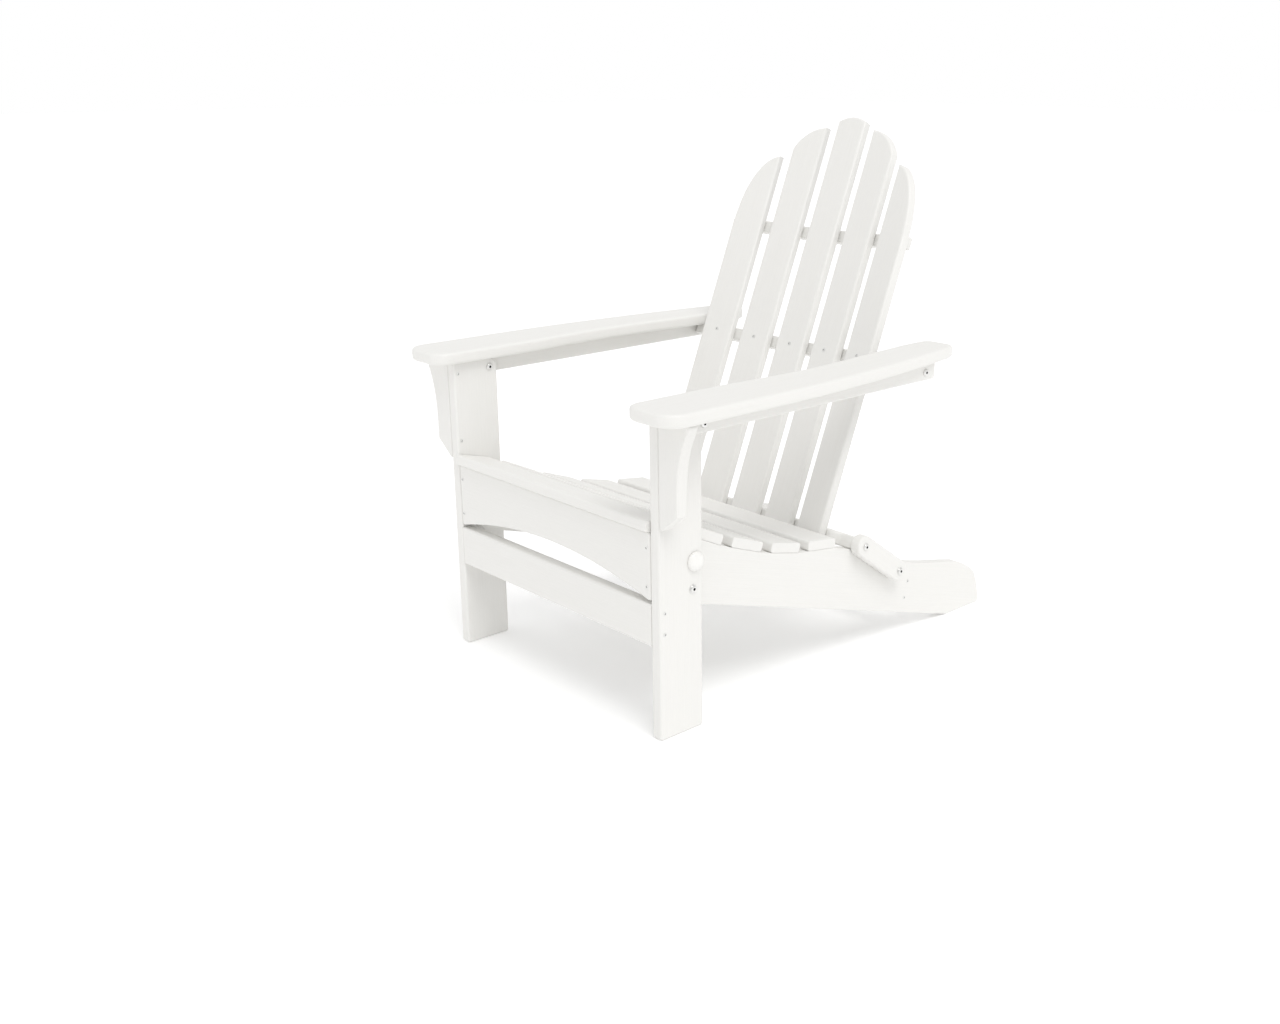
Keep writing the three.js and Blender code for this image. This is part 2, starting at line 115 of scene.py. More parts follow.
@dataclass(frozen=True)
class PlasticLumber:
    """Solid-coloured HDPE plastic lumber, extruded and planed, then wire-brushed lengthwise.

    It gives the eye a clean satin white with soft highlights on the eased edges and, close up, fine
    broken streaks along each board over a very slight waviness.
    """

    body: str = "EAE9E6"
    streak: str = "DFDEDA"
    roughness: float = 0.46
    streak_length: float = 90.0
    streak_width: float = 1.6
    pore_width: float = 0.8
    wave_length: float = 140.0
    streak_depth: float = 0.1
    wave_depth: float = 0.5

    def material(self, grain: Grain) -> bpy.types.Material:
        """Makes or returns the lumber material whose grain runs one way.

        Args:
            grain: the way the board's grain runs.

        Returns:
            The material.
        """
        name = f"hdpe_plastic_lumber_white_{grain.name.lower()}"
        if name in bpy.data.materials:
            return bpy.data.materials[name]
        material = bpy.data.materials.new(name)
        material.use_nodes = True
        tree = material.node_tree
        shader = tree.nodes["Principled BSDF"]
        place = add_node(tree, "ShaderNodeTexCoord")
        turn = add_node(
            tree,
            "ShaderNodeMapping",
            {"Vector": place.outputs["Object"], "Rotation": [math.radians(a) for a in grain.value]},
        )
        lengthwise = 1 / (self.streak_length * MM)
        streaks = self.noise(tree, turn, (lengthwise, 1 / (self.streak_width * MM)), 3.0)
        pores = self.noise(tree, turn, (6 * lengthwise, 1 / (self.pore_width * MM)), 2.0)
        waves = self.noise(tree, turn, (0.5 / (self.wave_length * MM), 1 / (self.wave_length * MM)), 1.0)
        fine = add_node(
            tree, "ShaderNodeMath", {0: streaks, 1: pores}, operation="MULTIPLY"
        )
        colour = add_node(
            tree,
            "ShaderNodeMix",
            {0: fine.outputs[0], 6: linear(self.body), 7: linear(self.streak)},
            data_type="RGBA",
        )
        rough = add_node(
            tree,
            "ShaderNodeMapRange",
            {0: streaks, 1: 0.3, 2: 0.7, 3: self.roughness - 0.05, 4: self.roughness + 0.07},
        )
        wavy = add_node(
            tree, "ShaderNodeBump", {"Height": waves, "Strength": 0.35, "Distance": self.wave_depth * MM}
        )
        brushed = add_node(
            tree,
            "ShaderNodeBump",
            {
                "Height": fine.outputs[0],
                "Strength": 0.5,
                "Distance": self.streak_depth * MM,
                "Normal": wavy.outputs["Normal"],
            },
        )
        tree.links.new(colour.outputs[2], shader.inputs["Base Color"])
        tree.links.new(rough.outputs[0], shader.inputs["Roughness"])
        tree.links.new(brushed.outputs["Normal"], shader.inputs["Normal"])
        shader.inputs["IOR"].default_value = 1.53
        shader.inputs["Specular IOR Level"].default_value = 0.45
        return material

    def noise(
        self,
        tree: bpy.types.NodeTree,
        turn: bpy.types.Node,
        scale: tuple[float, float],
        detail: float,
    ) -> bpy.types.NodeSocket:
        """Adds noise stretched along the grain.

        Args:
            tree: the material's nodes.
            turn: the mapping that lays the grain along X.
            scale: repeats per metre along the grain and across it.
            detail: the noise's octaves.

        Returns:
            The noise value.
        """
        along, across = scale
        stretch = add_node(
            tree,
            "ShaderNodeMapping",
            {"Vector": turn.outputs["Vector"], "Scale": (along, across, across)},
        )
        grain = add_node(
            tree,
            "ShaderNodeTexNoise",
            {"Vector": stretch.outputs["Vector"], "Scale": 1.0, "Detail": detail, "Roughness": 0.55},
        )
        return grain.outputs["Fac"]


@dataclass(frozen=True)
class StainlessSteel:
    """Stainless steel fasteners, cold-formed and tumbled: bright heads with faint turning marks."""

    name: str = "stainless_steel_tumbled"
    body: str = "E4E4E2"
    roughness: float = 0.34
    mark_spacing: float = 0.6

    def material(self) -> bpy.types.Material:
        """Makes or returns the steel."""
        name = self.name
        if name in bpy.data.materials:
            return bpy.data.materials[name]
        material = bpy.data.materials.new(name)
        material.use_nodes = True
        tree = material.node_tree
        shader = tree.nodes["Principled BSDF"]
        place = add_node(tree, "ShaderNodeTexCoord")
        marks = add_node(
            tree,
            "ShaderNodeTexNoise",
            {"Vector": place.outputs["Object"], "Scale": 1 / (self.mark_spacing * MM), "Detail": 2.0},
        )
        rough = add_node(
            tree,
            "ShaderNodeMapRange",
            {0: marks.outputs["Fac"], 1: 0.3, 2: 0.7, 3: self.roughness - 0.08, 4: self.roughness + 0.1},
        )
        bump = add_node(
            tree, "ShaderNodeBump", {"Height": marks.outputs["Fac"], "Strength": 0.2, "Distance": 0.05 * MM}
        )
        tree.links.new(rough.outputs[0], shader.inputs["Roughness"])
        tree.links.new(bump.outputs["Normal"], shader.inputs["Normal"])
        shader.inputs["Base Color"].default_value = linear(self.body)
        shader.inputs["Metallic"].default_value = 1.0
        return material


@dataclass(frozen=True)
class MouldedCap:
    """Injection-moulded polyethylene caps: smooth, slightly glossy white with a faint orange peel."""

    body: str = "EDECE9"
    roughness: float = 0.3
    peel_spacing: float = 2.5

    def material(self) -> bpy.types.Material:
        """Makes or returns the cap plastic."""
        name = "moulded_polyethylene_white"
        if name in bpy.data.materials:
            return bpy.data.materials[name]
        material = bpy.data.materials.new(name)
        material.use_nodes = True
        tree = material.node_tree
        shader = tree.nodes["Principled BSDF"]
        place = add_node(tree, "ShaderNodeTexCoord")
        peel = add_node(
            tree,
            "ShaderNodeTexNoise",
            {"Vector": place.outputs["Object"], "Scale": 1 / (self.peel_spacing * MM), "Detail": 1.0},
        )
        bump = add_node(
            tree, "ShaderNodeBump", {"Height": peel.outputs["Fac"], "Strength": 0.15, "Distance": 0.1 * MM}
        )
        tree.links.new(bump.outputs["Normal"], shader.inputs["Normal"])
        shader.inputs["Base Color"].default_value = linear(self.body)
        shader.inputs["Roughness"].default_value = self.roughness
        shader.inputs["IOR"].default_value = 1.5
        return material


@dataclass(frozen=True)
class Shelf:
    """The finishes the chair is made of."""

    lumber: PlasticLumber = PlasticLumber()
    steel: StainlessSteel = StainlessSteel()
    # The socket steel is dark: painted shade for the shadow deep in the screw sockets.
    socket: StainlessSteel = StainlessSteel("stainless_steel_socket_grimy", "4A4A48", 0.62)
    cap: MouldedCap = MouldedCap()


def flat_area(loop: Loop) -> float:
    """Returns the signed area of a loop, positive when it runs anticlockwise."""
    pairs = zip(loop, loop[1:] + loop[:1])
    return sum(a[0] * b[1] - b[0] * a[1] for a, b in pairs) / 2


class Outline:
    """A closed flat outline that runs anticlockwise, in millimetres."""

    def __init__(self, corners: Loop) -> None:
        """Takes the corners in either direction.

        Args:
            corners: the corners, in order.
        """
        ordered = corners if flat_area(corners) > 0 else corners[::-1]
        self.points = [Vector(corner) for corner in ordered]
        self.tidy()

    def neighbours(self, i: int) -> tuple[Vector, Vector, Vector]:
        """Returns the corner before, the corner itself and the corner after."""
        return self.points[i - 1], self.points[i], self.points[(i + 1) % len(self.points)]

    def turn(self, i: int) -> float:
        """Returns how far the outline turns left at a corner, in radians."""
        before, corner, after = self.neighbours(i % len(self.points))
        a, b = corner - before, after - corner
        return math.atan2(a.cross(b), a.dot(b))

    def tidy(self, gap: float = 0.05) -> None:
        """Drops repeated corners and corners on a straight side."""
        self.points = [p for i, p in enumerate(self.points) if (p - self.points[i - 1]).length > gap]
        self.points = [p for i, p in enumerate(self.points) if abs(self.turn(i)) > 0.0015]

    def life(self, i: int) -> float:
        """Returns the inset at which the side that starts at a corner vanishes."""
        _, start, end = self.neighbours(i)
        bend = math.tan(self.turn(i) / 2) + math.tan(self.turn(i + 1) / 2)
        return (end - start).length / bend if bend > 1e-6 else math.inf

    def merge(self, i: int) -> None:
        """Replaces a side by the corner where the sides before and after it meet."""
        before, start, end = self.neighbours(i)
        after = self.points[(i + 2) % len(self.points)]
        a, b = start - before, after - end
        across = a.cross(b)
        meet = (start + end) / 2
        if abs(across) > 0.02 * a.length * b.length:
            meet = start + a * ((end - start).cross(b) / across)
        self.points[i] = meet
        del self.points[(i + 1) % len(self.points)]

    def relax(self, inset: float) -> None:
        """Merges short sides until all that are left survive an inset."""
        while len(self.points) > 4:
            lives = [self.life(i) for i in range(len(self.points))]
            if min(lives) >= inset:
                return
            self.merge(lives.index(min(lives)))

    def round_off(self, radius: float, sharpest: float = 20.0, steps: int = 6) -> None:
        """Puts arcs in place of the sharp corners.

        Args:
            radius: of the arcs, made smaller where a side is too short.
            sharpest: corners that turn less than this many degrees are kept.
            steps: sides of each arc.
        """
        rounded = []
        for i in range(len(self.points)):
            before, corner, after = self.neighbours(i)
            turn = self.turn(i)
            if abs(turn) < math.radians(sharpest):
                rounded.append(corner)
                continue
            room = 0.48 * min((before - corner).length, (after - corner).length)
            slope = math.tan(abs(turn) / 2)
            reach = min(radius, room / slope)
            heading = (corner - before).normalized()
            start = corner - heading * reach * slope
            spoke = Vector((heading.y, -heading.x)) * math.copysign(reach, turn)
            for step in range(steps + 1):
                swung = Matrix.Rotation(turn * step / steps, 2) @ spoke
                rounded.append(start - spoke + swung)
        self.points = rounded

    def mitres(self) -> list[Vector]:
        """Returns the outward mitre of each corner."""
        found = []
        for i in range(len(self.points)):
            before, corner, after = self.neighbours(i)
            a, b = (corner - before).normalized(), (after - corner).normalized()
            first, second = Vector((a.y, -a.x)), Vector((b.y, -b.x))
            found.append((first + second) / max(0.2, 1 + first.dot(second)))
        return found


def cut_outlines(node: str, to_flat: Matrix) -> tuple[list[Loop], float, float]:
    """Reads the outline of a CAD board from its upper face.

    Args:
        node: the CAD node's name.
        to_flat: the turn that lays the board flat.

    Returns:
        The loops, outer one first, and the lowest and highest level of the board, in millimetres.
    """
    shape = bmesh.new()
    shape.from_mesh(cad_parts[node].data)
    shape.transform(Matrix.Scale(1 / MM, 4) @ to_flat)
    bmesh.ops.remove_doubles(shape, verts=shape.verts, dist=0.002)
    levels = [v.co.z for v in shape.verts]
    low, high = min(levels), max(levels)
    top = {f for f in shape.faces if all(v.co.z > high - 0.02 for v in f.verts)}
    rim = [e for e in shape.edges if sum(f in top for f in e.link_faces) == 1]
    neighbours: dict = {}
    for edge in rim:
        for a, b in (edge.verts, reversed(edge.verts)):
            neighbours.setdefault(a, []).append(b)
    loops = []
    unused = set(neighbours)
    while unused:
        start = at = unused.pop()
        loop = [start]
        while True:
            following = [v for v in neighbours[at] if v in unused]
            if not following:
                break
            at = following[0]
            unused.discard(at)
            loop.append(at)
        loops.append([(v.co.x, v.co.y) for v in loop])
    shape.free()
    loops.sort(key=lambda one: -abs(flat_area(one)))
    return [one if flat_area(one) > 0 else one[::-1] for one in loops], low, high


@dataclass(frozen=True)
class Easing:
    """How the edges of a board are rounded over.

    Attributes:
        edge: radius of the rounding along the outline.
        corner: radius of the outline's own sharp corners.
        steps: sides of the rounding.
        margin: flat strip kept inside the rounding.
    """

    edge: float = 3.5
    corner: float = 5.6
    steps: int = 4
    margin: float = 1.6

    def profile(self) -> list[tuple[float, float]]:
        """Returns the rounding as (inset, depth) pairs, from the side of the board to its face."""
        angles = [math.pi / 2 * step / self.steps for step in range(self.steps + 1)]
        curve = [(self.edge * (1 - math.cos(a)), self.edge * (1 - math.sin(a))) for a in angles]
        return curve + [(self.edge + self.margin, 0.0)]


def eased_board(
    shape: bmesh.types.BMesh, loops: list[Loop], low: float, high: float, easing: Easing
) -> None:
    """Adds a flat board with rounded edges to a mesh.

    Args:
        shape: the mesh that gets the board, in millimetres, lying flat.
        loops: the outline and its holes.
        low: level of the underside.
        high: level of the upper side.
        easing: the rounding.
    """
    outline = Outline(loops[0])
    outline.relax(easing.edge + easing.margin)
    outline.round_off(easing.corner)
    outline.relax(easing.edge + easing.margin)
    outer = [tuple(p) for p in outline.points]
    mitres = outline.mitres()
    profile = easing.profile()
    rings = []
    for side, level in ((1, high), (-1, low)):
        for inset, depth in profile:
            rings.append(
                [
                    shape.verts.new((x - m.x * inset, y - m.y * inset, level - side * depth))
                    for (x, y), m in zip(outer, mitres)
                ]
            )
    upper, lower = rings[: len(profile)], rings[len(profile) :]
    strips = list(zip(upper, upper[1:])) + list(zip(lower[1:], lower)) + [(lower[0], upper[0])]
    count = len(outer)
    for a, b in strips:
        for i in range(count):
            j = (i + 1) % count
            shape.faces.new((a[i], a[j], b[j], b[i]))
    caps = {high: [upper[-1]], low: [lower[-1]]}
    for hole in loops[1:]:
        ring = [tuple(p) for p in Outline(hole).points]
        walls = [[shape.verts.new((x, y, level)) for x, y in ring] for level in (high, low)]
        for i in range(len(ring)):
            j = (i + 1) % len(ring)
            shape.faces.new((walls[0][i], walls[0][j], walls[1][j], walls[1][i]))
        caps[high].append(walls[0])
        caps[low].append(walls[1])
    for rims in caps.values():
        edges = []
        for ring in rims:
            for i, vert in enumerate(ring):
                following = ring[(i + 1) % len(ring)]
                edges.append(shape.edges.get((vert, following)))
        bmesh.ops.triangle_fill(shape, use_beauty=True, use_dissolve=False, edges=edges)
    for rims in caps.values():
        for ring in rims[1:]:
            for i, vert in enumerate(ring):
                shape.edges.get((vert, ring[(i + 1) % len(ring)])).smooth = False


def finished(
    shape: bmesh.types.BMesh, name: str, place: Matrix, material: bpy.types.Material
) -> bpy.types.Object:
    """Turns a mesh in millimetres into a piece of the chair.

    Args:
        shape: the mesh; it is freed.
        name: the piece's name.
        place: the turn and shift, in metres, from where it was drawn to the chair.
        material: its finish.

    Returns:
        The piece, with its object at the origin.
    """
    shape.transform(place @ Matrix.Scale(MM, 4))
    bmesh.ops.recalc_face_normals(shape, faces=shape.faces)
    for face in shape.faces:
        face.smooth = True
    mesh = bpy.data.meshes.new(name)
    shape.to_mesh(mesh)
    shape.free()
    mesh.materials.append(material)
    piece = bpy.data.objects.new(name, mesh)
    bpy.context.collection.objects.link(piece)
    return piece


def assign(piece: bpy.types.Object, body: str, slot: str, *nodes: str) -> None:
    """Gives a piece its body and lets it stand for CAD nodes.

    Args:
        piece: the finished piece.
        body: the CAD body it rides on.
        slot: the record's material slot; not used.
        nodes: the CAD nodes it stands for.
    """
    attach(piece, body)
    if nodes:
        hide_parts(*nodes)
    LOG.info("%s rides on %s", piece.name, body)


def board_from(
    node: str, stand: Stand, material: bpy.types.Material, easing: Easing = Easing()
) -> bpy.types.Object:
    """Makes a board with rounded edges from the outline of a CAD board.

    Args:
        node: the CAD node.
        stand: how the board stands.
        material: its finish.
        easing: its rounding.

    Returns:
        The piece.
    """
    turn = stand.matrix()
    loops, low, high = cut_outlines(node, turn.inverted())
    shape = bmesh.new()
    eased_board(shape, loops, low, high, easing)
    return finished(shape, f"{node}_board", turn, material)


class GeometryTree:
    """A Geometry Nodes tree with named inputs that ends in Realize Instances and Set Material."""

    def __init__(self, name: str, sockets: dict[str, tuple[str, object]]) -> None:
        """Makes the tree and its inputs.

        Args:
            name: the tree's name.
            sockets: for each input, its socket type and the value it starts with.
        """
        self.tree = bpy.data.node_groups.new(name, "GeometryNodeTree")
        self.tree.interface.new_socket("Geometry", in_out="INPUT", socket_type="NodeSocketGeometry")
        for title, (kind, value) in sockets.items():
            socket = self.tree.interface.new_socket(title, in_out="INPUT", socket_type=kind)
            if value is not None:
                socket.default_value = value
        self.tree.interface.new_socket("Geometry", in_out="OUTPUT", socket_type="NodeSocketGeometry")
        self.inputs = self.tree.nodes.new("NodeGroupInput").outputs

    def add(self, kind: str, inputs: dict = {}, **settings: object) -> bpy.types.Node:
        """Adds a node to the tree; see add_node."""
        return add_node(self.tree, kind, inputs, **settings)

    def vector(self, operation: str, a: object, b: object) -> bpy.types.NodeSocket:
        """Adds a vector sum and returns its result."""
        return self.add("ShaderNodeVectorMath", {0: a, 1: b}, operation=operation).outputs[0]

    def number(self, operation: str, a: object, b: object) -> bpy.types.NodeSocket:
        """Adds a number sum and returns its result."""
        return self.add("ShaderNodeMath", {0: a, 1: b}, operation=operation).outputs[0]

    def attribute(self, name: str, kind: str) -> bpy.types.NodeSocket:
        """Reads a named attribute of the given data type."""
        reader = self.add("GeometryNodeInputNamedAttribute", {"Name": name}, data_type=kind)
        return reader.outputs["Attribute"]

    def finish(
        self,
        geometry: bpy.types.NodeSocket,
        finish: bpy.types.NodeSocket,
        part: tuple[bpy.types.NodeSocket, bpy.types.NodeSocket] | None = None,
    ) -> None:
        """Ends the tree with real geometry and its finish.

        Args:
            geometry: what the tree has made.
            finish: the material of all of it.
            part: a selection of faces and the material they get instead.
        """
        real = self.add("GeometryNodeRealizeInstances", {"Geometry": geometry})
        dressed = self.add(
            "GeometryNodeSetMaterial", {"Geometry": real.outputs[0], "Material": finish}
        )
        if part:
            faces, other = part
            dressed = self.add(
                "GeometryNodeSetMaterial",
                {"Geometry": dressed.outputs[0], "Selection": faces, "Material": other},
            )
        self.add("NodeGroupOutput", {0: dressed.outputs[0]})

    def run(self, source: bpy.types.Object, name: str, values: dict[str, object]) -> bpy.types.Object:
        """Runs the tree on an object and keeps the result as a plain piece.

        Args:
            source: the object the tree starts from; it is removed.
            name: the piece's name.
            values: a value for each named input.

        Returns:
            The piece.
        """
        modifier = source.modifiers.new(name, "NODES")
        modifier.node_group = self.tree
        for item in self.tree.interface.items_tree:
            if item.in_out == "INPUT" and item.name in values:
                modifier[item.identifier] = values[item.name]
        source.update_tag()
        bpy.context.view_layer.update()
        graph = bpy.context.evaluated_depsgraph_get()
        mesh = bpy.data.meshes.new_from_object(source.evaluated_get(graph))
        source.modifiers.clear()
        bpy.data.objects.remove(source)
        mesh.name = name
        piece = bpy.data.objects.new(name, mesh)
        bpy.context.collection.objects.link(piece)
        return piece


def slab_tree() -> GeometryTree:
    """Builds the tree that puts a slat with rounded edges on each point.

    Each point carries "half", half the slat's size, and "tilt", its turn about X. Every slat starts as a
    cube with ten rows of points each way: the outer rows become the rounding, the middle ones the flats.

    Returns:
        The tree.
    """
    made = GeometryTree(
        "rounded_slats",
        {
            "Edge radius": ("NodeSocketFloat", 0.004),
            "End radius": ("NodeSocketFloat", 0.001),
            "Flat margin": ("NodeSocketFloat", 0.002),
            "Finish": ("NodeSocketMaterial", None),
        },
    )
    rows = 10
    centres = made.add(
        "GeometryNodeStoreNamedAttribute",
        {
            "Geometry": made.inputs["Geometry"],
            "Name": "centre",
            "Value": made.add("GeometryNodeInputPosition").outputs[0],
        },
        data_type="FLOAT_VECTOR",
        domain="POINT",
    )
    cube = made.add(
        "GeometryNodeMeshCube",
        {"Size": (2, 2, 2), "Vertices X": rows, "Vertices Y": rows, "Vertices Z": rows},
    )
    placed = made.add(
        "GeometryNodeInstanceOnPoints", {"Points": centres.outputs[0], "Instance": cube.outputs[0]}
    )
    real = made.add("GeometryNodeRealizeInstances", {"Geometry": placed.outputs[0]})
    centre = made.attribute("centre", "FLOAT_VECTOR")
    half = made.attribute("half", "FLOAT_VECTOR")
    tilt = made.attribute("tilt", "FLOAT")
    local = made.vector("SUBTRACT", made.add("GeometryNodeInputPosition").outputs[0], centre)
    flat_rows = 3
    inner = flat_rows / (rows - 1)
    distance = made.add("ShaderNodeVectorMath", {0: local}, operation="ABSOLUTE").outputs[0]
    beyond = made.vector("SUBTRACT", distance, (inner,) * 3)
    rise = made.vector("MULTIPLY", beyond, (1 / (1 - inner),) * 3)
    lift = made.add("ShaderNodeVectorMath", {0: rise, 1: (0, 0, 0)}, operation="MAXIMUM").outputs[0]
    sink = made.add("ShaderNodeVectorMath", {0: rise, 1: (0, 0, 0)}, operation="MINIMUM").outputs[0]
    round_ = made.add("ShaderNodeVectorMath", {0: lift}, operation="NORMALIZE").outputs[0]
    radius = made.inputs["Edge radius"]
    radii = made.add("ShaderNodeCombineXYZ", {0: made.inputs["End radius"], 1: radius, 2: radius}).outputs[0]
    swell = made.vector("MULTIPLY", round_, radii)
    margin = made.number("MULTIPLY", made.inputs["Flat margin"], (1 - inner) / (inner - 1 / (rows - 1)))
    dip = made.add("ShaderNodeVectorMath", {0: sink, "Scale": margin}, operation="SCALE").outputs[0]
    cored = made.vector("SUBTRACT", half, radii)
    size = made.vector("ADD", made.vector("ADD", cored, swell), dip)
    signs = made.add("ShaderNodeVectorMath", {0: local}, operation="SIGN").outputs[0]
    turned = made.add(
        "ShaderNodeVectorRotate",
        {"Vector": made.vector("MULTIPLY", size, signs), "Angle": tilt},
        rotation_type="X_AXIS",
    )
    moved = made.add(
        "GeometryNodeSetPosition",
        {"Geometry": real.outputs[0], "Position": made.vector("ADD", turned.outputs[0], centre)},
    )
    smooth = made.add("GeometryNodeSetShadeSmooth", {"Geometry": moved.outputs[0], "Shade Smooth": True})
    made.finish(smooth.outputs[0], made.inputs["Finish"])
    return made


def fan_tree() -> GeometryTree:
    """Builds the tree that stands a flat row of back slats round an arc and leans the arc back.

    The row lies with x across, y back through the slats and z up; each slat is turned as one stiff board.

    Returns:
        The tree.
    """
    made = GeometryTree(
        "fan_round_an_arc",
        {
            "Pitch": ("NodeSocketFloat", 0.0954),
            "Step": ("NodeSocketFloat", 0.0946),
            "Radius": ("NodeSocketFloat", 1.0),
            "Recline": ("NodeSocketFloat", 0.38),
            "Foot": ("NodeSocketVector", None),
            "Finish": ("NodeSocketMaterial", None),
        },
    )
    place = made.add("GeometryNodeInputPosition").outputs[0]
    parts = made.add("ShaderNodeSeparateXYZ", {0: place}).outputs
    slat = made.add(
        "ShaderNodeMath",
        {0: made.number("DIVIDE", parts[0], made.inputs["Pitch"])},
        operation="ROUND",
    ).outputs[0]
    across = made.number("SUBTRACT", parts[0], made.number("MULTIPLY", slat, made.inputs["Pitch"]))
    depth = made.number("ADD", parts[1], made.inputs["Radius"])
    drawn = made.add("ShaderNodeCombineXYZ", {0: across, 1: depth, 2: parts[2]}).outputs[0]
    angle = made.number("MULTIPLY", made.number("MULTIPLY", slat, made.inputs["Step"]), -1.0)
    swung = made.add(
        "ShaderNodeVectorRotate", {"Vector": drawn, "Angle": angle}, rotation_type="Z_AXIS"
    ).outputs[0]
    pull = made.add("ShaderNodeCombineXYZ", {1: made.inputs["Radius"]}).outputs[0]
    leaning = made.add(
        "ShaderNodeVectorRotate",
        {
            "Vector": made.vector("SUBTRACT", swung, pull),
            "Angle": made.number("MULTIPLY", made.inputs["Recline"], -1.0),
        },
        rotation_type="X_AXIS",
    ).outputs[0]
    moved = made.add(
        "GeometryNodeSetPosition",
        {
            "Geometry": made.inputs["Geometry"],
            "Position": made.vector("ADD", leaning, made.inputs["Foot"]),
        },
    )
    made.finish(moved.outputs[0], made.inputs["Finish"])
    return made


def screw_tree() -> GeometryTree:
    """Builds the tree that sets a pan-head screw with a six-lobed socket on each point.

    Each point carries "facing", the way its head looks.

    Returns:
        The tree.
    """
    made = GeometryTree(
        "screw_heads",
        {
            "Head radius": ("NodeSocketFloat", 0.004),
            "Head height": ("NodeSocketFloat", 0.0009),
            "Socket depth": ("NodeSocketFloat", 0.0016),
            "Finish": ("NodeSocketMaterial", None),
            "Socket finish": ("NodeSocketMaterial", None),
        },
    )
    radius, height = made.inputs["Head radius"], made.inputs["Head height"]
    disc = made.add(
        "GeometryNodeMeshCylinder",
        {"Vertices": 24, "Radius": radius, "Depth": made.number("MULTIPLY", height, 2.0)},
        fill_type="NGON",
    )
    geometry, top = disc.outputs["Mesh"], disc.outputs["Top"]
    # Steps of the head: how much each top face shrinks, and how far it rises or sinks.
    steps = ((0.86, 0.25), (0.56, 0.1), (0.9, -0.3), (0.9, -1.0))
    for scale, rise in steps:
        amount = made.number("MULTIPLY", made.inputs["Socket depth"] if rise < 0 else height, rise)
        pushed = made.add(
            "GeometryNodeExtrudeMesh",
            {"Mesh": geometry, "Selection": top, "Offset Scale": amount, "Individual": False},
            mode="FACES",
        )
        scaled = made.add(
            "GeometryNodeScaleElements",
            {"Geometry": pushed.outputs["Mesh"], "Selection": pushed.outputs["Top"], "Scale": scale},
            domain="FACE",
        )
        geometry, top = scaled.outputs[0], pushed.outputs["Top"]
    place = made.add("GeometryNodeInputPosition").outputs[0]
    parts = made.add("ShaderNodeSeparateXYZ", {0: place}).outputs
    bearing = made.number("ARCTAN2", parts[1], parts[0])
    lobe_count, lobe_depth = 6.0, 0.16
    lobes = made.add(
        "ShaderNodeMath", {0: made.number("MULTIPLY", bearing, lobe_count)}, operation="COSINE"
    ).outputs[0]
    swell = made.number("ADD", made.number("MULTIPLY", lobes, lobe_depth), 1.0)
    spread = made.add("ShaderNodeCombineXYZ", {0: swell, 1: swell, 2: 1.0}).outputs[0]
    flat = made.add("ShaderNodeCombineXYZ", {0: parts[0], 1: parts[1]}).outputs[0]
    reach = made.add("ShaderNodeVectorMath", {0: flat}, operation="LENGTH").outputs["Value"]
    inside = made.add(
        "FunctionNodeCompare",
        {0: reach, 1: made.number("MULTIPLY", radius, 0.5)},
        data_type="FLOAT",
        operation="LESS_THAN",
    ).outputs[0]
    lobed = made.add(
        "GeometryNodeSetPosition",
        {"Geometry": geometry, "Selection": inside, "Position": made.vector("MULTIPLY", place, spread)},
    )
    marked = made.add(
        "GeometryNodeStoreNamedAttribute",
        {"Geometry": lobed.outputs[0], "Name": "socket", "Value": inside},
        data_type="BOOLEAN",
        domain="FACE",
    )
    facing = made.attribute("facing", "FLOAT_VECTOR")
    turn = made.add("FunctionNodeAlignRotationToVector", {"Vector": facing}, axis="Z")
    placed = made.add(
        "GeometryNodeInstanceOnPoints",
        {"Points": made.inputs["Geometry"], "Instance": marked.outputs[0], "Rotation": turn.outputs[0]},
    )
    socket = made.attribute("socket", "BOOLEAN")
    # The socket's faces get the Socket finish, the dark steel that paints in the shade of the recess.
    made.finish(placed.outputs[0], made.inputs["Finish"], (socket, made.inputs["Socket finish"]))
    return made


def point_cloud(name: str, points: list[Vector], **attributes: list) -> bpy.types.Object:
    """Makes a mesh of loose points, in metres, with attributes.

    Args:
        name: the object's name.
        points: where the points are.
        attributes: for each attribute, a number or a vector for each point.

    Returns:
        The object.
    """
    mesh = bpy.data.meshes.new(name)
    mesh.from_pydata([tuple(p) for p in points], [], [])
    for title, values in attributes.items():
        if isinstance(values[0], float):
            layer = mesh.attributes.new(title, "FLOAT", "POINT")
            layer.data.foreach_set("value", values)
        else:
            layer = mesh.attributes.new(title, "FLOAT_VECTOR", "POINT")
            layer.data.foreach_set("vector", [c for v in values for c in v])
    cloud = bpy.data.objects.new(name, mesh)
    bpy.context.collection.objects.link(cloud)
    return cloud


def at(x: float, y: float, z: float) -> Vector:
    """Returns a place in the chair's frame, in metres, from millimetres behind the leg fronts."""
    return Vector((x, y - MIDDLE_Y, z)) * MM


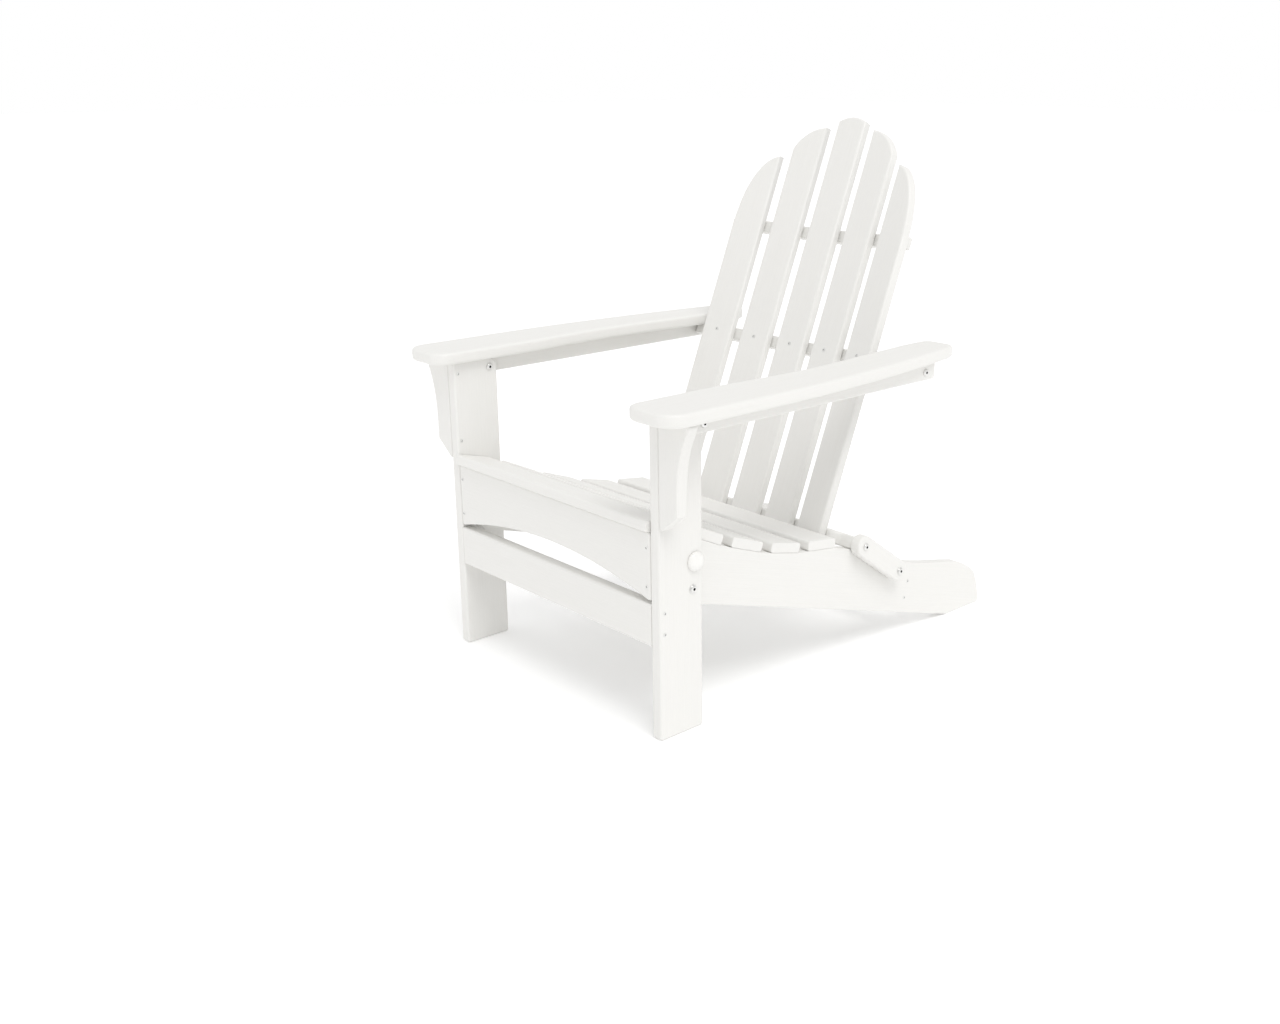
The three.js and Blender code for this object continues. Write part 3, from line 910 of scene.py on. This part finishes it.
@dataclass
class Screws:
    """Stainless screws, gathered by the body they are in and set in one go.

    Attributes:
        radius: radius of the heads.
        proud: how far a head stands over the board.
        rim: height of a head's rim, as a share of its radius.
        socket: depth of its socket, as a share of its radius.
        places: for each body, the place and the facing of each of its screws.
    """

    radius: float = 3.6
    proud: float = 0.4
    rim: float = 0.225
    socket: float = 0.5
    places: dict[str, list[tuple[Vector, Vector]]] = field(default_factory=dict)

    def add(self, body: str, place: Vector, facing: tuple[float, float, float]) -> None:
        """Adds a screw, facing away from its board."""
        self.places.setdefault(body, []).append((place, Vector(facing).normalized()))

    def add_pair(self, body: str, x: float, y: float, z: float, facing: tuple[float, float, float]) -> None:
        """Adds a screw and its mirror image."""
        for side in (1, -1):
            self.add(body, at(side * x, y, z), (side * facing[0], facing[1], facing[2]))

    def build(self, shelf: Shelf) -> None:
        """Makes one piece of screws for each body.

        Args:
            shelf: the finishes.
        """
        tree = screw_tree()
        for body, places in self.places.items():
            cloud = point_cloud(
                f"{body}_screw_points",
                [p - (self.radius * self.rim - self.proud) * MM * n for p, n in places],
                facing=[n for _, n in places],
            )
            heads = tree.run(
                cloud,
                f"{body}_screws",
                {
                    "Head radius": self.radius * MM,
                    "Head height": self.radius * self.rim * MM,
                    "Socket depth": self.radius * self.socket * MM,
                    "Finish": shelf.steel.material(),
                    # Dark steel in the sockets, as painted shade.
                    "Socket finish": shelf.socket.material(),
                },
            )
            assign(heads, body, "steel")


class Head(Enum):
    """Shapes of turned fasteners, as (distance out from the board, radius) pairs from edge to axis."""

    PAN = ((0.0, 6.5), (1.6, 6.5), (2.5, 5.8), (3.0, 4.5), (3.1, 2.9), (3.1, 2.4), (0.6, 2.2), (0.6, 0.0))
    RINGED = (
        (0.0, 8.0), (0.5, 8.0), (0.8, 7.7), (0.8, 6.3), (2.4, 6.1), (3.2, 5.0), (3.5, 3.2), (3.5, 2.5),
        (0.8, 2.3), (0.8, 0.0),
    )
    DOME = (
        (0.0, 15.6), (0.6, 16.4), (2.2, 16.5), (3.6, 16.1), (5.2, 15.0), (6.9, 13.2), (8.3, 11.0),
        (9.4, 8.2), (10.1, 5.2), (10.4, 2.4), (10.5, 0.0),
    )


@dataclass(frozen=True)
class Turner:
    """Makes round pieces on an axis along X.

    Attributes:
        sides: points round each ring.
        crease: the angle between faces, in degrees, from which an edge is sharp.
    """

    sides: int = 48
    crease: float = 42.0

    def build(
        self,
        name: str,
        head: Head,
        face: Vector,
        outwards: float,
        shank: tuple[float, float],
        materials: tuple[bpy.types.Material, ...],
    ) -> bpy.types.Object:
        """Makes a head with a shank behind it.

        Args:
            name: the piece's name.
            head: its shape.
            face: the point of the board's face on the axis, in metres.
            outwards: +1 if the head faces +X, -1 if it faces -X.
            shank: the shank's radius and length, in millimetres, or two zeros.
            materials: its finish, and that of its socket if it has one.

        Returns:
            The piece.
        """
        radius, length = shank
        profile = list(head.value)
        if length:
            profile = [(-length, 0.0), (-length, radius), (0.0, radius)] + profile
        else:
            profile = [(0.0, 0.0)] + profile
        shape = bmesh.new()
        rings = [self.points(shape, outwards * out, spread) for out, spread in profile]
        strips = list(zip(rings, rings[1:]))
        # The last strips line the socket and take the second material, a dark steel that paints in its
        # shade.
        socket_strips = 2
        for strip, (a, b) in enumerate(strips):
            inside = len(materials) > 1 and strip >= len(strips) - socket_strips
            self.join(shape, a, b, int(inside))
        return self.closed(shape, name, face, materials)

    def points(self, shape: bmesh.types.BMesh, out: float, spread: float) -> list[bmesh.types.BMVert]:
        """Adds a ring of points round the axis, or one point where its radius is zero.

        Args:
            shape: the mesh they go in.
            out: their place along the axis.
            spread: the ring's radius.

        Returns:
            The points.
        """
        turns = [2 * math.pi * i / self.sides for i in range(self.sides if spread else 1)]
        return [shape.verts.new((out, spread * math.cos(t), spread * math.sin(t))) for t in turns]

    def join(self, shape: bmesh.types.BMesh, a: list, b: list, index: int = 0) -> None:
        """Joins two rings of points, either of which may be a single point.

        Args:
            shape: the mesh they are in.
            a: the first ring.
            b: the second ring.
            index: the material of the strip.
        """
        for i in range(self.sides):
            j = (i + 1) % self.sides
            corners = [a[i % len(a)], a[j % len(a)], b[j % len(b)], b[i % len(b)]]
            shape.faces.new(list(dict.fromkeys(corners))).material_index = index

    def closed(
        self,
        shape: bmesh.types.BMesh,
        name: str,
        face: Vector,
        materials: tuple[bpy.types.Material, ...],
    ) -> bpy.types.Object:
        """Sharpens the edges of a turned mesh and makes it a piece.

        Args:
            shape: the mesh, in millimetres round the axis.
            name: the piece's name.
            face: where it goes, in metres.
            materials: its finishes.

        Returns:
            The piece.
        """
        bmesh.ops.recalc_face_normals(shape, faces=shape.faces)
        for edge in shape.edges:
            edge.smooth = edge.calc_face_angle(0.0) < math.radians(self.crease)
        piece = finished(shape, name, Matrix.Translation(face), materials[0])
        for extra in materials[1:]:
            piece.data.materials.append(extra)
        return piece

    def ring(
        self,
        name: str,
        centre: Vector,
        radii: tuple[float, float],
        width: float,
        material: bpy.types.Material,
    ) -> bpy.types.Object:
        """Makes a flat ring.

        Args:
            name: the piece's name.
            centre: its middle, in metres.
            radii: its inner and outer radius.
            width: its thickness.
            material: its finish.

        Returns:
            The piece.
        """
        inner, outer = radii
        shape = bmesh.new()
        section = ((-1, inner), (-1, outer), (1, outer), (1, inner))
        rings = [self.points(shape, out * width / 2, spread) for out, spread in section]
        for a, b in zip(rings, rings[1:] + rings[:1]):
            self.join(shape, a, b)
        return self.closed(shape, name, centre, (material,))


@dataclass
class SeatFrame:
    """Side boards, apron, seat slats and rear stretcher: the part that stands still.

    Attributes:
        slat_tops: front and rear top edge of each seat slat, as (y, z).
        slat_half: half the length of a slat.
        thickness: thickness of the slats.
        slat_edge: rounding of the slats.
        rear: centre of the rear stretcher as (y, z), its height, thickness and slope.
    """

    slat_tops: tuple = (
        ((-6, 379), (66, 361)),
        ((93.5, 349.5), (164.5, 316)),
        ((187, 307), (258, 281)),
        ((280.5, 274), (351.5, 257)),
        ((374, 254), (445, 244)),
    )
    slat_half: float = 269.5
    thickness: float = 18.0
    slat_edge: float = 4.2
    rear: tuple = (653.0, 89.0, 68.0, 22.0, 17.0)
    rear_half: float = 247.2
    apron_shoulder: float = 320.0

    def build(self, shelf: Shelf, screws: Screws) -> None:
        """Makes the boards and slats and places the screws.

        Args:
            shelf: the finishes.
            screws: gets this part's screws.
        """
        for side in ("left", "right"):
            node = f"side_{side}"
            easing = Easing(edge=1.2, corner=3.2, steps=3)
            piece = board_from(node, Stand.SIDE, shelf.lumber.material(Grain.SLOPING), easing)
            assign(piece, "seat_frame", "board", node)
        self.build_apron(shelf)
        self.build_slats(shelf)
        for z in (331.0, 265.0):
            screws.add_pair("seat_frame", 262.0, 0.0, z, (0, -1, 0))
        for y, z in ((657.0, 105.7), (648.6, 73.6)):
            screws.add_pair("seat_frame", 269.5, y, z, (1, 0, 0))

    def build_apron(self, shelf: Shelf) -> None:
        """Makes the apron, its top edge sloped like the slat over it.

        Args:
            shelf: the finishes.
        """
        turn = Stand.FRONT.matrix()
        loops, low, high = cut_outlines("apron", turn.inverted())
        shape = bmesh.new()
        eased_board(shape, loops, low, high, Easing())
        (y0, z0), (y1, z1) = self.slat_tops[0]
        for vert in shape.verts:
            if vert.co.y > self.apron_shoulder:
                vert.co.y += (high - vert.co.z) * (z1 - z0) / (y1 - y0)
        apron = finished(shape, "apron_board", turn, shelf.lumber.material(Grain.ACROSS))
        assign(apron, "seat_frame", "board", "apron")

    def build_slats(self, shelf: Shelf) -> None:
        """Makes the five seat slats and the rear stretcher from one tree.

        Args:
            shelf: the finishes.
        """
        tree = slab_tree()
        lumber = shelf.lumber.material(Grain.ACROSS)
        for i, (front, rear) in enumerate(self.slat_tops):
            along = Vector(rear) - Vector(front)
            down = Vector((along.y, -along.x)).normalized() * self.thickness / 2
            middle = (Vector(front) + Vector(rear)) / 2 + down
            name = f"seat_slat_{i + 1}"
            cloud = point_cloud(
                f"{name}_point",
                [at(0.0, middle.x, middle.y)],
                half=[Vector((self.slat_half, along.length / 2, self.thickness / 2)) * MM],
                tilt=[math.atan2(along.y, along.x)],
            )
            piece = tree.run(
                cloud,
                f"{name}_board",
                {"Edge radius": self.slat_edge * MM, "Flat margin": 2 * MM, "Finish": lumber},
            )
            assign(piece, "seat_frame", "board", name)
        y, z, tall, thick, slope = self.rear
        cloud = point_cloud(
            "rear_stretcher_point",
            [at(0.0, y, z)],
            half=[Vector((self.rear_half, thick / 2, tall / 2)) * MM],
            tilt=[-math.radians(slope)],
        )
        piece = tree.run(
            cloud,
            "rear_stretcher_board",
            {"Edge radius": 3.5 * MM, "Flat margin": 2 * MM, "Finish": lumber},
        )
        assign(piece, "seat_frame", "board", "rear_stretcher")


@dataclass
class LegFrame:
    """The two legs, the stretcher between them and the corbels under the arms.

    Attributes:
        outer: distance of the legs' outer faces from the middle.
        inner: distance of their inner faces.
    """

    outer: float = 292.5
    inner: float = 270.8
    stretcher: tuple = (11.0, 199.5, 73.0, 22.0, 270.5)

    def build(self, shelf: Shelf, screws: Screws) -> None:
        """Makes the boards and places the screws.

        Args:
            shelf: the finishes.
            screws: gets this part's screws.
        """
        upright = shelf.lumber.material(Grain.UPRIGHT)
        for side in ("left", "right"):
            for part, stand, easing in (
                ("leg", Stand.SIDE, Easing()),
                ("corbel", Stand.FRONT, Easing(edge=2.4, corner=3.6, margin=1.0)),
            ):
                node = f"{part}_{side}"
                assign(board_from(node, stand, upright, easing), "legs", "board", node)
        y, z, tall, thick, half = self.stretcher
        cloud = point_cloud(
            "front_stretcher_point",
            [at(0.0, y, z)],
            half=[Vector((half, thick / 2, tall / 2)) * MM],
            tilt=[0.0],
        )
        piece = slab_tree().run(
            cloud,
            "front_stretcher_board",
            {
                "Edge radius": 3.5 * MM,
                "Flat margin": 2 * MM,
                "Finish": shelf.lumber.material(Grain.ACROSS),
            },
        )
        assign(piece, "legs", "board", "front_stretcher")
        for z in (224.0, 187.6):
            screws.add_pair("legs", self.outer, 10.5, z, (1, 0, 0))
        for z in (528.0, 402.0):
            screws.add_pair("legs", self.inner, 8.0, z, (-1, 0, 0))


@dataclass
class Arms:
    """Arms and the rails they are screwed to.

    Attributes:
        rail_bottom: height of the rails' undersides.
        rail_middle: distance of the rails' middles from the middle of the chair.
        screw_rows: where the screws from below stand.
    """

    rail_bottom: float = 516.5
    rail_middle: float = 303.8
    screw_rows: tuple = (130.0, 270.0, 410.0, 560.0)

    def build(self, shelf: Shelf, screws: Screws) -> None:
        """Makes the boards and places the screws.

        Args:
            shelf: the finishes.
            screws: gets this part's screws.
        """
        deep = shelf.lumber.material(Grain.DEEP)
        for side, sign in (("left", 1), ("right", -1)):
            body = f"arm_{side}"
            arm = board_from(body, Stand.TOP, deep, Easing(edge=5.5, corner=10.0, steps=5))
            assign(arm, body, "board", body)
            node = f"arm_rail_{side}"
            assign(board_from(node, Stand.SIDE, deep), body, "board", node)
            for y in self.screw_rows:
                screws.add(body, at(sign * self.rail_middle, y, self.rail_bottom), (0, 0, -1))


class RailShape(Enum):
    """Shapes of the rails behind the back: straight behind with narrowed ends, or evenly bent."""

    TONGUED = "tongued"
    BENT = "bent"


@dataclass(frozen=True)
class Rail:
    """A rail behind the back slats.

    Attributes:
        title: its name.
        height: height of its middle line up the back.
        half: half its length.
        shape: its shape.
    """

    title: str
    height: float
    half: float
    shape: RailShape


@dataclass
class Back:
    """Five slats round an arc with three curved rails behind them.

    Heights run up the back, depths square to it from the front of the middle slat.

    Attributes:
        recline: lean of the back in degrees.
        foot: where height and depth are nought, as (y, z).
        radius: radius of the arc of the slats' faces.
        step: degrees from one slat to the next.
    """

    recline: float = 21.85
    foot: tuple = (469.0, 227.5)
    radius: float = 1008.0
    step: float = 5.42
    pitch: float = 100.0
    width: float = 70.0
    thickness: float = 18.0
    bottom: float = -12.0
    lower: Rail = Rail("lower", 4.5, 270.0, RailShape.TONGUED)
    middle: Rail = Rail("middle", 341.5, 291.2, RailShape.TONGUED)
    top: Rail = Rail("top", 568.5, 214.0, RailShape.BENT)
    rail_thickness: float = 24.0
    rail_rear: float = 50.0
    rail_clear: float = 1.1
    top_depth: float = 22.0
    reach: float = 226.0
    shoulder: float = 233.0
    neck: float = 241.0
    tongue: tuple = (19.5, 48.5)

    def crown(self, step: int, x: float) -> float:
        """Returns the height of a slat's top edge.

        Args:
            step: the slat's number out from the middle.
            x: distance from the middle of the chair.

        Returns:
            The height up the back.
        """
        if step == 0:
            return 736 + math.sqrt(66**2 - x**2)
        if step == 1:
            return 695 + math.sqrt(83**2 - (x - 55) ** 2)
        return 571 + 140 * math.sqrt(max(0.0, 1 - ((x - 150) / 73) ** 2))

    def slat_outline(self, number: int) -> Loop:
        """Returns the outline of a slat, with x across from its own middle line and y up.

        Args:
            number: -2 to 2, from the sitter's right to the left.

        Returns:
            The loop, anticlockwise.
        """
        half = self.width / 2
        middle = self.radius * math.sin(math.radians(abs(number) * self.step))
        sign = -1 if number < 0 else 1
        rounds = 28
        top = []
        for i in range(rounds + 1):
            across = half * math.cos(math.pi * i / rounds)
            top.append((sign * across, self.crown(abs(number), middle + across)))
        if sign < 0:
            top.reverse()
        return [(-half, self.bottom), (half, self.bottom)] + top

    def matrix(self) -> Matrix:
        """Returns the place of the back in the chair, in metres."""
        y, z = self.foot
        return Matrix.Translation(at(0, y, z)) @ Matrix.Rotation(-math.radians(self.recline), 4, "X")

    def build(self, shelf: Shelf, screws: Screws) -> None:
        """Makes the slats and rails and places the screws.

        Args:
            shelf: the finishes.
            screws: gets this part's screws.
        """
        leaning = shelf.lumber.material(Grain.LEANING)
        tree = fan_tree()
        rounding = Easing(edge=4.2, corner=6.2, steps=5)
        turn = math.radians(self.step)
        y, z = self.foot
        for number in range(-2, 3):
            shape = bmesh.new()
            eased_board(shape, [self.slat_outline(number)], -self.thickness, 0.0, rounding)
            place = Matrix.Translation((number * self.pitch * MM, 0, 0)) @ Stand.FRONT.matrix()
            flat = finished(shape, "flat_slat", place, leaning)
            piece = tree.run(
                flat,
                f"back_slat_{number + 3}_board",
                {
                    "Pitch": self.pitch * MM,
                    "Step": turn,
                    "Radius": self.radius * MM,
                    "Recline": math.radians(self.recline),
                    "Foot": at(0, y, z),
                    "Finish": leaning,
                },
            )
            assign(piece, "back", "board", f"back_slat_{number + 3}")
            self.place_screws(number * turn, screws)
        for rail in (self.lower, self.middle, self.top):
            assign(self.build_rail(rail, shelf), "back", "board", f"back_rail_{rail.title}")

    def place_screws(self, angle: float, screws: Screws) -> None:
        """Places the screws of one slat: one in front, two behind.

        Args:
            angle: the slat's turn round the arc.
            screws: gets the screws.
        """
        place = self.matrix()
        turned = place.to_3x3()
        spoke = Vector((math.sin(angle), math.cos(angle), 0))
        foot = Vector((0, -self.radius, 0))
        behind = self.arc_radius + self.top_depth
        rows = (
            (self.middle.height, foot + spoke * self.radius, -spoke),
            (self.top.height, foot + spoke * behind, spoke),
            (self.lower.height, Vector((spoke.x * self.radius, self.rail_rear, 0)), Vector((0, 1, 0))),
        )
        for height, point, facing in rows:
            spot = place @ ((point + Vector((0, 0, height))) * MM)
            screws.add("back", spot, tuple(turned @ facing))

    @property
    def arc_radius(self) -> float:
        """Radius of the hollow front of the rails."""
        return self.radius + self.thickness + self.rail_clear

    def arc(self, half: float, radius: float, steps: int = 44) -> Loop:
        """Returns an arc round the middle of the back's curve, from +half to -half."""
        across = [half * (1 - 2 * i / steps) for i in range(steps + 1)]
        return [(x, math.sqrt(radius**2 - x**2) - self.radius) for x in across]

    def rail_outline(self, rail: Rail) -> Loop:
        """Returns a rail's outline seen from above."""
        if rail.shape is RailShape.BENT:
            rear = self.arc(rail.half, self.arc_radius + self.top_depth)
            return self.arc(rail.half, self.arc_radius) + rear[::-1]
        curve = self.arc(self.reach, self.arc_radius)
        near, far = self.tongue
        right = [
            (self.shoulder, self.rail_rear),
            (self.neck, far),
            (rail.half, far),
            (rail.half, near),
            (self.neck, near),
            (self.shoulder, curve[0][1]),
        ]
        left = [(-x, y) for x, y in reversed(right)]
        return right + curve + left

    def build_rail(self, rail: Rail, shelf: Shelf) -> bpy.types.Object:
        """Makes a rail.

        Args:
            rail: which one.
            shelf: the finishes.

        Returns:
            The piece.
        """
        shape = bmesh.new()
        low = rail.height - self.rail_thickness / 2
        eased_board(shape, [self.rail_outline(rail)], low, low + self.rail_thickness, Easing())
        material = shelf.lumber.material(Grain.ACROSS)
        return finished(shape, f"back_rail_{rail.title}_board", self.matrix(), material)


@dataclass
class Links:
    """The two short links that carry the foot of the back."""

    easing: Easing = Easing(edge=3.5)

    def build(self, shelf: Shelf) -> None:
        """Makes the links.

        Args:
            shelf: the finishes.
        """
        for side in ("left", "right"):
            node = f"link_{side}"
            piece = board_from(node, Stand.SIDE, shelf.lumber.material(Grain.LINKED), self.easing)
            assign(piece, node, "board", node)


@dataclass
class Hardware:
    """Bolts, rings and domed caps on the pivots.

    Attributes:
        turner: makes the round pieces.
        back: gives the places of the pivots on the back.
        washer_middle: distance of the leg washers' middles from the middle of the chair.
        washer_width: their thickness.
    """

    turner: Turner = Turner()
    back: Back = field(default_factory=Back)
    washer_middle: float = 270.15
    washer_width: float = 0.7

    def build(self, shelf: Shelf) -> None:
        """Makes the fasteners.

        Args:
            shelf: the finishes.
        """
        steel = shelf.steel.material()
        leg_pivot, arm_pivot = (76.4, 298.0), (76.4, 532.0)
        lower = self.on_back(self.back.lower.height)
        middle = self.on_back(self.back.middle.height)
        rows = (
            ("leg_pivot_bolt", "seat_frame", Head.PAN, 247.2, leg_pivot, -1, (4.0, 45.4), "steel"),
            ("leg_pivot_cap", "legs", Head.DOME, 292.8, leg_pivot, 1, (0.0, 0.0), "cap"),
            ("lock_bolt", "legs", Head.RINGED, 292.8, (72.0, 251.0), 1, (3.5, 21.7), "steel"),
            ("arm_nut", "legs", Head.PAN, 270.5, arm_pivot, -1, (4.0, 21.7), "steel"),
            ("arm_bolt", "arm", Head.PAN, 315.1, arm_pivot, 1, (4.0, 22.0), "steel"),
            ("back_bolt", "back", Head.PAN, 315.1, middle, 1, (4.0, 45.6), "steel"),
            ("link_foot_bolt", "seat_frame", Head.RINGED, 292.8, (604.0, 146.0), 1, (4.0, 45.0), "steel"),
            ("link_top_bolt", "back", Head.PAN, 292.8, lower, 1, (4.0, 44.8), "steel"),
        )
        for part, body, head, x, (y, z), out, shank, slot in rows:
            # Steel heads take the dark socket steel in their sockets, as painted shade.
            materials = (steel, shelf.socket.material()) if slot == "steel" else (shelf.cap.material(),)
            for side, sign in (("left", 1), ("right", -1)):
                node = f"{part}_{side}"
                piece = self.turner.build(
                    f"{node}_turned", head, at(sign * x, y, z), sign * out, shank, materials
                )
                assign(piece, f"arm_{side}" if body == "arm" else body, slot, node)
        for side, sign in (("left", 1), ("right", -1)):
            node = f"leg_pivot_washer_{side}"
            middle = at(sign * self.washer_middle, *leg_pivot)
            washer = self.turner.ring(f"{node}_turned", middle, (4.1, 12.0), self.washer_width, steel)
            assign(washer, "seat_frame", "steel", node)

    def on_back(self, height: float) -> tuple[float, float]:
        """Returns the (y, z) of a pivot in a rail's end, from its height up the back."""
        point = self.back.matrix() @ (Vector((0, 34, height)) * MM)
        return point.y / MM + MIDDLE_Y, point.z / MM


@dataclass
class Studio:
    """Pale floor, soft lights and the camera.

    Attributes:
        camera: where the camera stands, in millimetres from the middle of the chair.
        azimuth: its turn, in degrees.
        elevation: how far it looks down, in degrees.
        roll: its lean, in degrees.
        lens: focal length for a 36 mm wide sensor.
        shift: how far the view is shifted, as shares of its width.
    """

    camera: tuple[float, float, float] = (1867.3, -1781.4, 1071.9)
    azimuth: float = 46.09
    elevation: float = 16.78
    roll: float = 0.18
    lens: float = 39.19
    shift: tuple[float, float] = (-0.0721, -0.0226)
    floor_size: float = 60.0
    floor_colour: str = "FBFBFB"
    floor_glow: float = 0.12
    walls: float = 0.8
    ceiling: float = 0.88
    key_from: tuple[float, float, float] = (0.5, -0.12, 0.85)
    key_spread: float = 32.0
    key_strength: float = 1.0

    def build(self) -> None:
        """Makes the floor, the world, the lights and the camera."""
        scene = bpy.context.scene
        scene.view_settings.view_transform = "Standard"
        self.build_floor()
        self.build_world(scene)
        self.build_key(scene)
        self.build_camera(scene)

    def build_floor(self) -> None:
        """Makes the pale translucent floor, lit a little from below."""
        half = self.floor_size / 2
        mesh = bpy.data.meshes.new("floor")
        corners = [(-half, -half, 0), (half, -half, 0), (half, half, 0), (-half, half, 0)]
        mesh.from_pydata(corners, [], [(0, 1, 2, 3)])
        material = bpy.data.materials.new("opal_acrylic_floor")
        material.use_nodes = True
        shader = material.node_tree.nodes["Principled BSDF"]
        shader.inputs["Base Color"].default_value = linear(self.floor_colour)
        shader.inputs["Roughness"].default_value = 0.9
        shader.inputs["Specular IOR Level"].default_value = 0.1
        shader.inputs["Emission Color"].default_value = linear("FFFFFF")
        shader.inputs["Emission Strength"].default_value = self.floor_glow
        mesh.materials.append(material)
        floor = bpy.data.objects.new("floor", mesh)
        bpy.context.collection.objects.link(floor)

    def build_world(self, scene: bpy.types.Scene) -> None:
        """Makes the white cyclorama round the chair, brightest at its walls.

        Args:
            scene: the scene it is for.
        """
        world = bpy.data.worlds.new("white_cyclorama")
        world.use_nodes = True
        tree = world.node_tree
        place = add_node(tree, "ShaderNodeTexCoord")
        height = add_node(tree, "ShaderNodeSeparateXYZ", {0: place.outputs["Generated"]})
        strength = add_node(
            tree,
            "ShaderNodeMapRange",
            {0: height.outputs["Z"], 1: 0.1, 2: 1.0, 3: self.walls, 4: self.ceiling},
        )
        # Seen directly, the paper is as white as the floor, so no horizon shows.
        path = add_node(tree, "ShaderNodeLightPath")
        seen = add_node(
            tree,
            "ShaderNodeMath",
            {0: strength.outputs[0], 1: path.outputs["Is Camera Ray"]},
            operation="MAXIMUM",
        )
        background = tree.nodes["Background"]
        background.inputs["Color"].default_value = linear("FFFFFF")
        tree.links.new(seen.outputs[0], background.inputs["Strength"])
        scene.world = world

    def build_key(self, scene: bpy.types.Scene) -> None:
        """Adds the overhead bank of soft light, far enough away to light the floor evenly.

        Args:
            scene: the scene it is for.
        """
        lamp = bpy.data.lights.new("overhead_bank", "SUN")
        lamp.energy = self.key_strength
        lamp.angle = math.radians(self.key_spread)
        holder = bpy.data.objects.new("overhead_bank", lamp)
        aim = -Vector(self.key_from)
        holder.rotation_euler = aim.to_track_quat("-Z", "Y").to_euler()
        scene.collection.objects.link(holder)

    def build_camera(self, scene: bpy.types.Scene) -> None:
        """Adds the camera and makes it the scene's own.

        Args:
            scene: the scene it is for.
        """
        camera = bpy.data.cameras.new("camera")
        camera.sensor_width = 36.0
        camera.lens = self.lens
        camera.shift_x, camera.shift_y = self.shift
        camera.clip_end = 200.0
        holder = bpy.data.objects.new("camera", camera)
        turn = (
            Matrix.Rotation(math.radians(self.azimuth), 4, "Z")
            @ Matrix.Rotation(math.radians(90 - self.elevation), 4, "X")
            @ Matrix.Rotation(math.radians(self.roll), 4, "Z")
        )
        holder.matrix_world = Matrix.Translation(Vector(self.camera) * MM) @ turn
        bpy.context.collection.objects.link(holder)
        scene.camera = holder


def main() -> None:
    """Builds the chair's looks and its studio in order."""
    logging.basicConfig(level=logging.INFO, format="%(message)s")
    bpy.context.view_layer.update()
    shelf = Shelf()
    screws = Screws()
    SeatFrame().build(shelf, screws)
    LegFrame().build(shelf, screws)
    Arms().build(shelf, screws)
    Back().build(shelf, screws)
    Links().build(shelf)
    Hardware().build(shelf)
    screws.build(shelf)
    Studio().build()


if __name__ == "__main__":
    main()
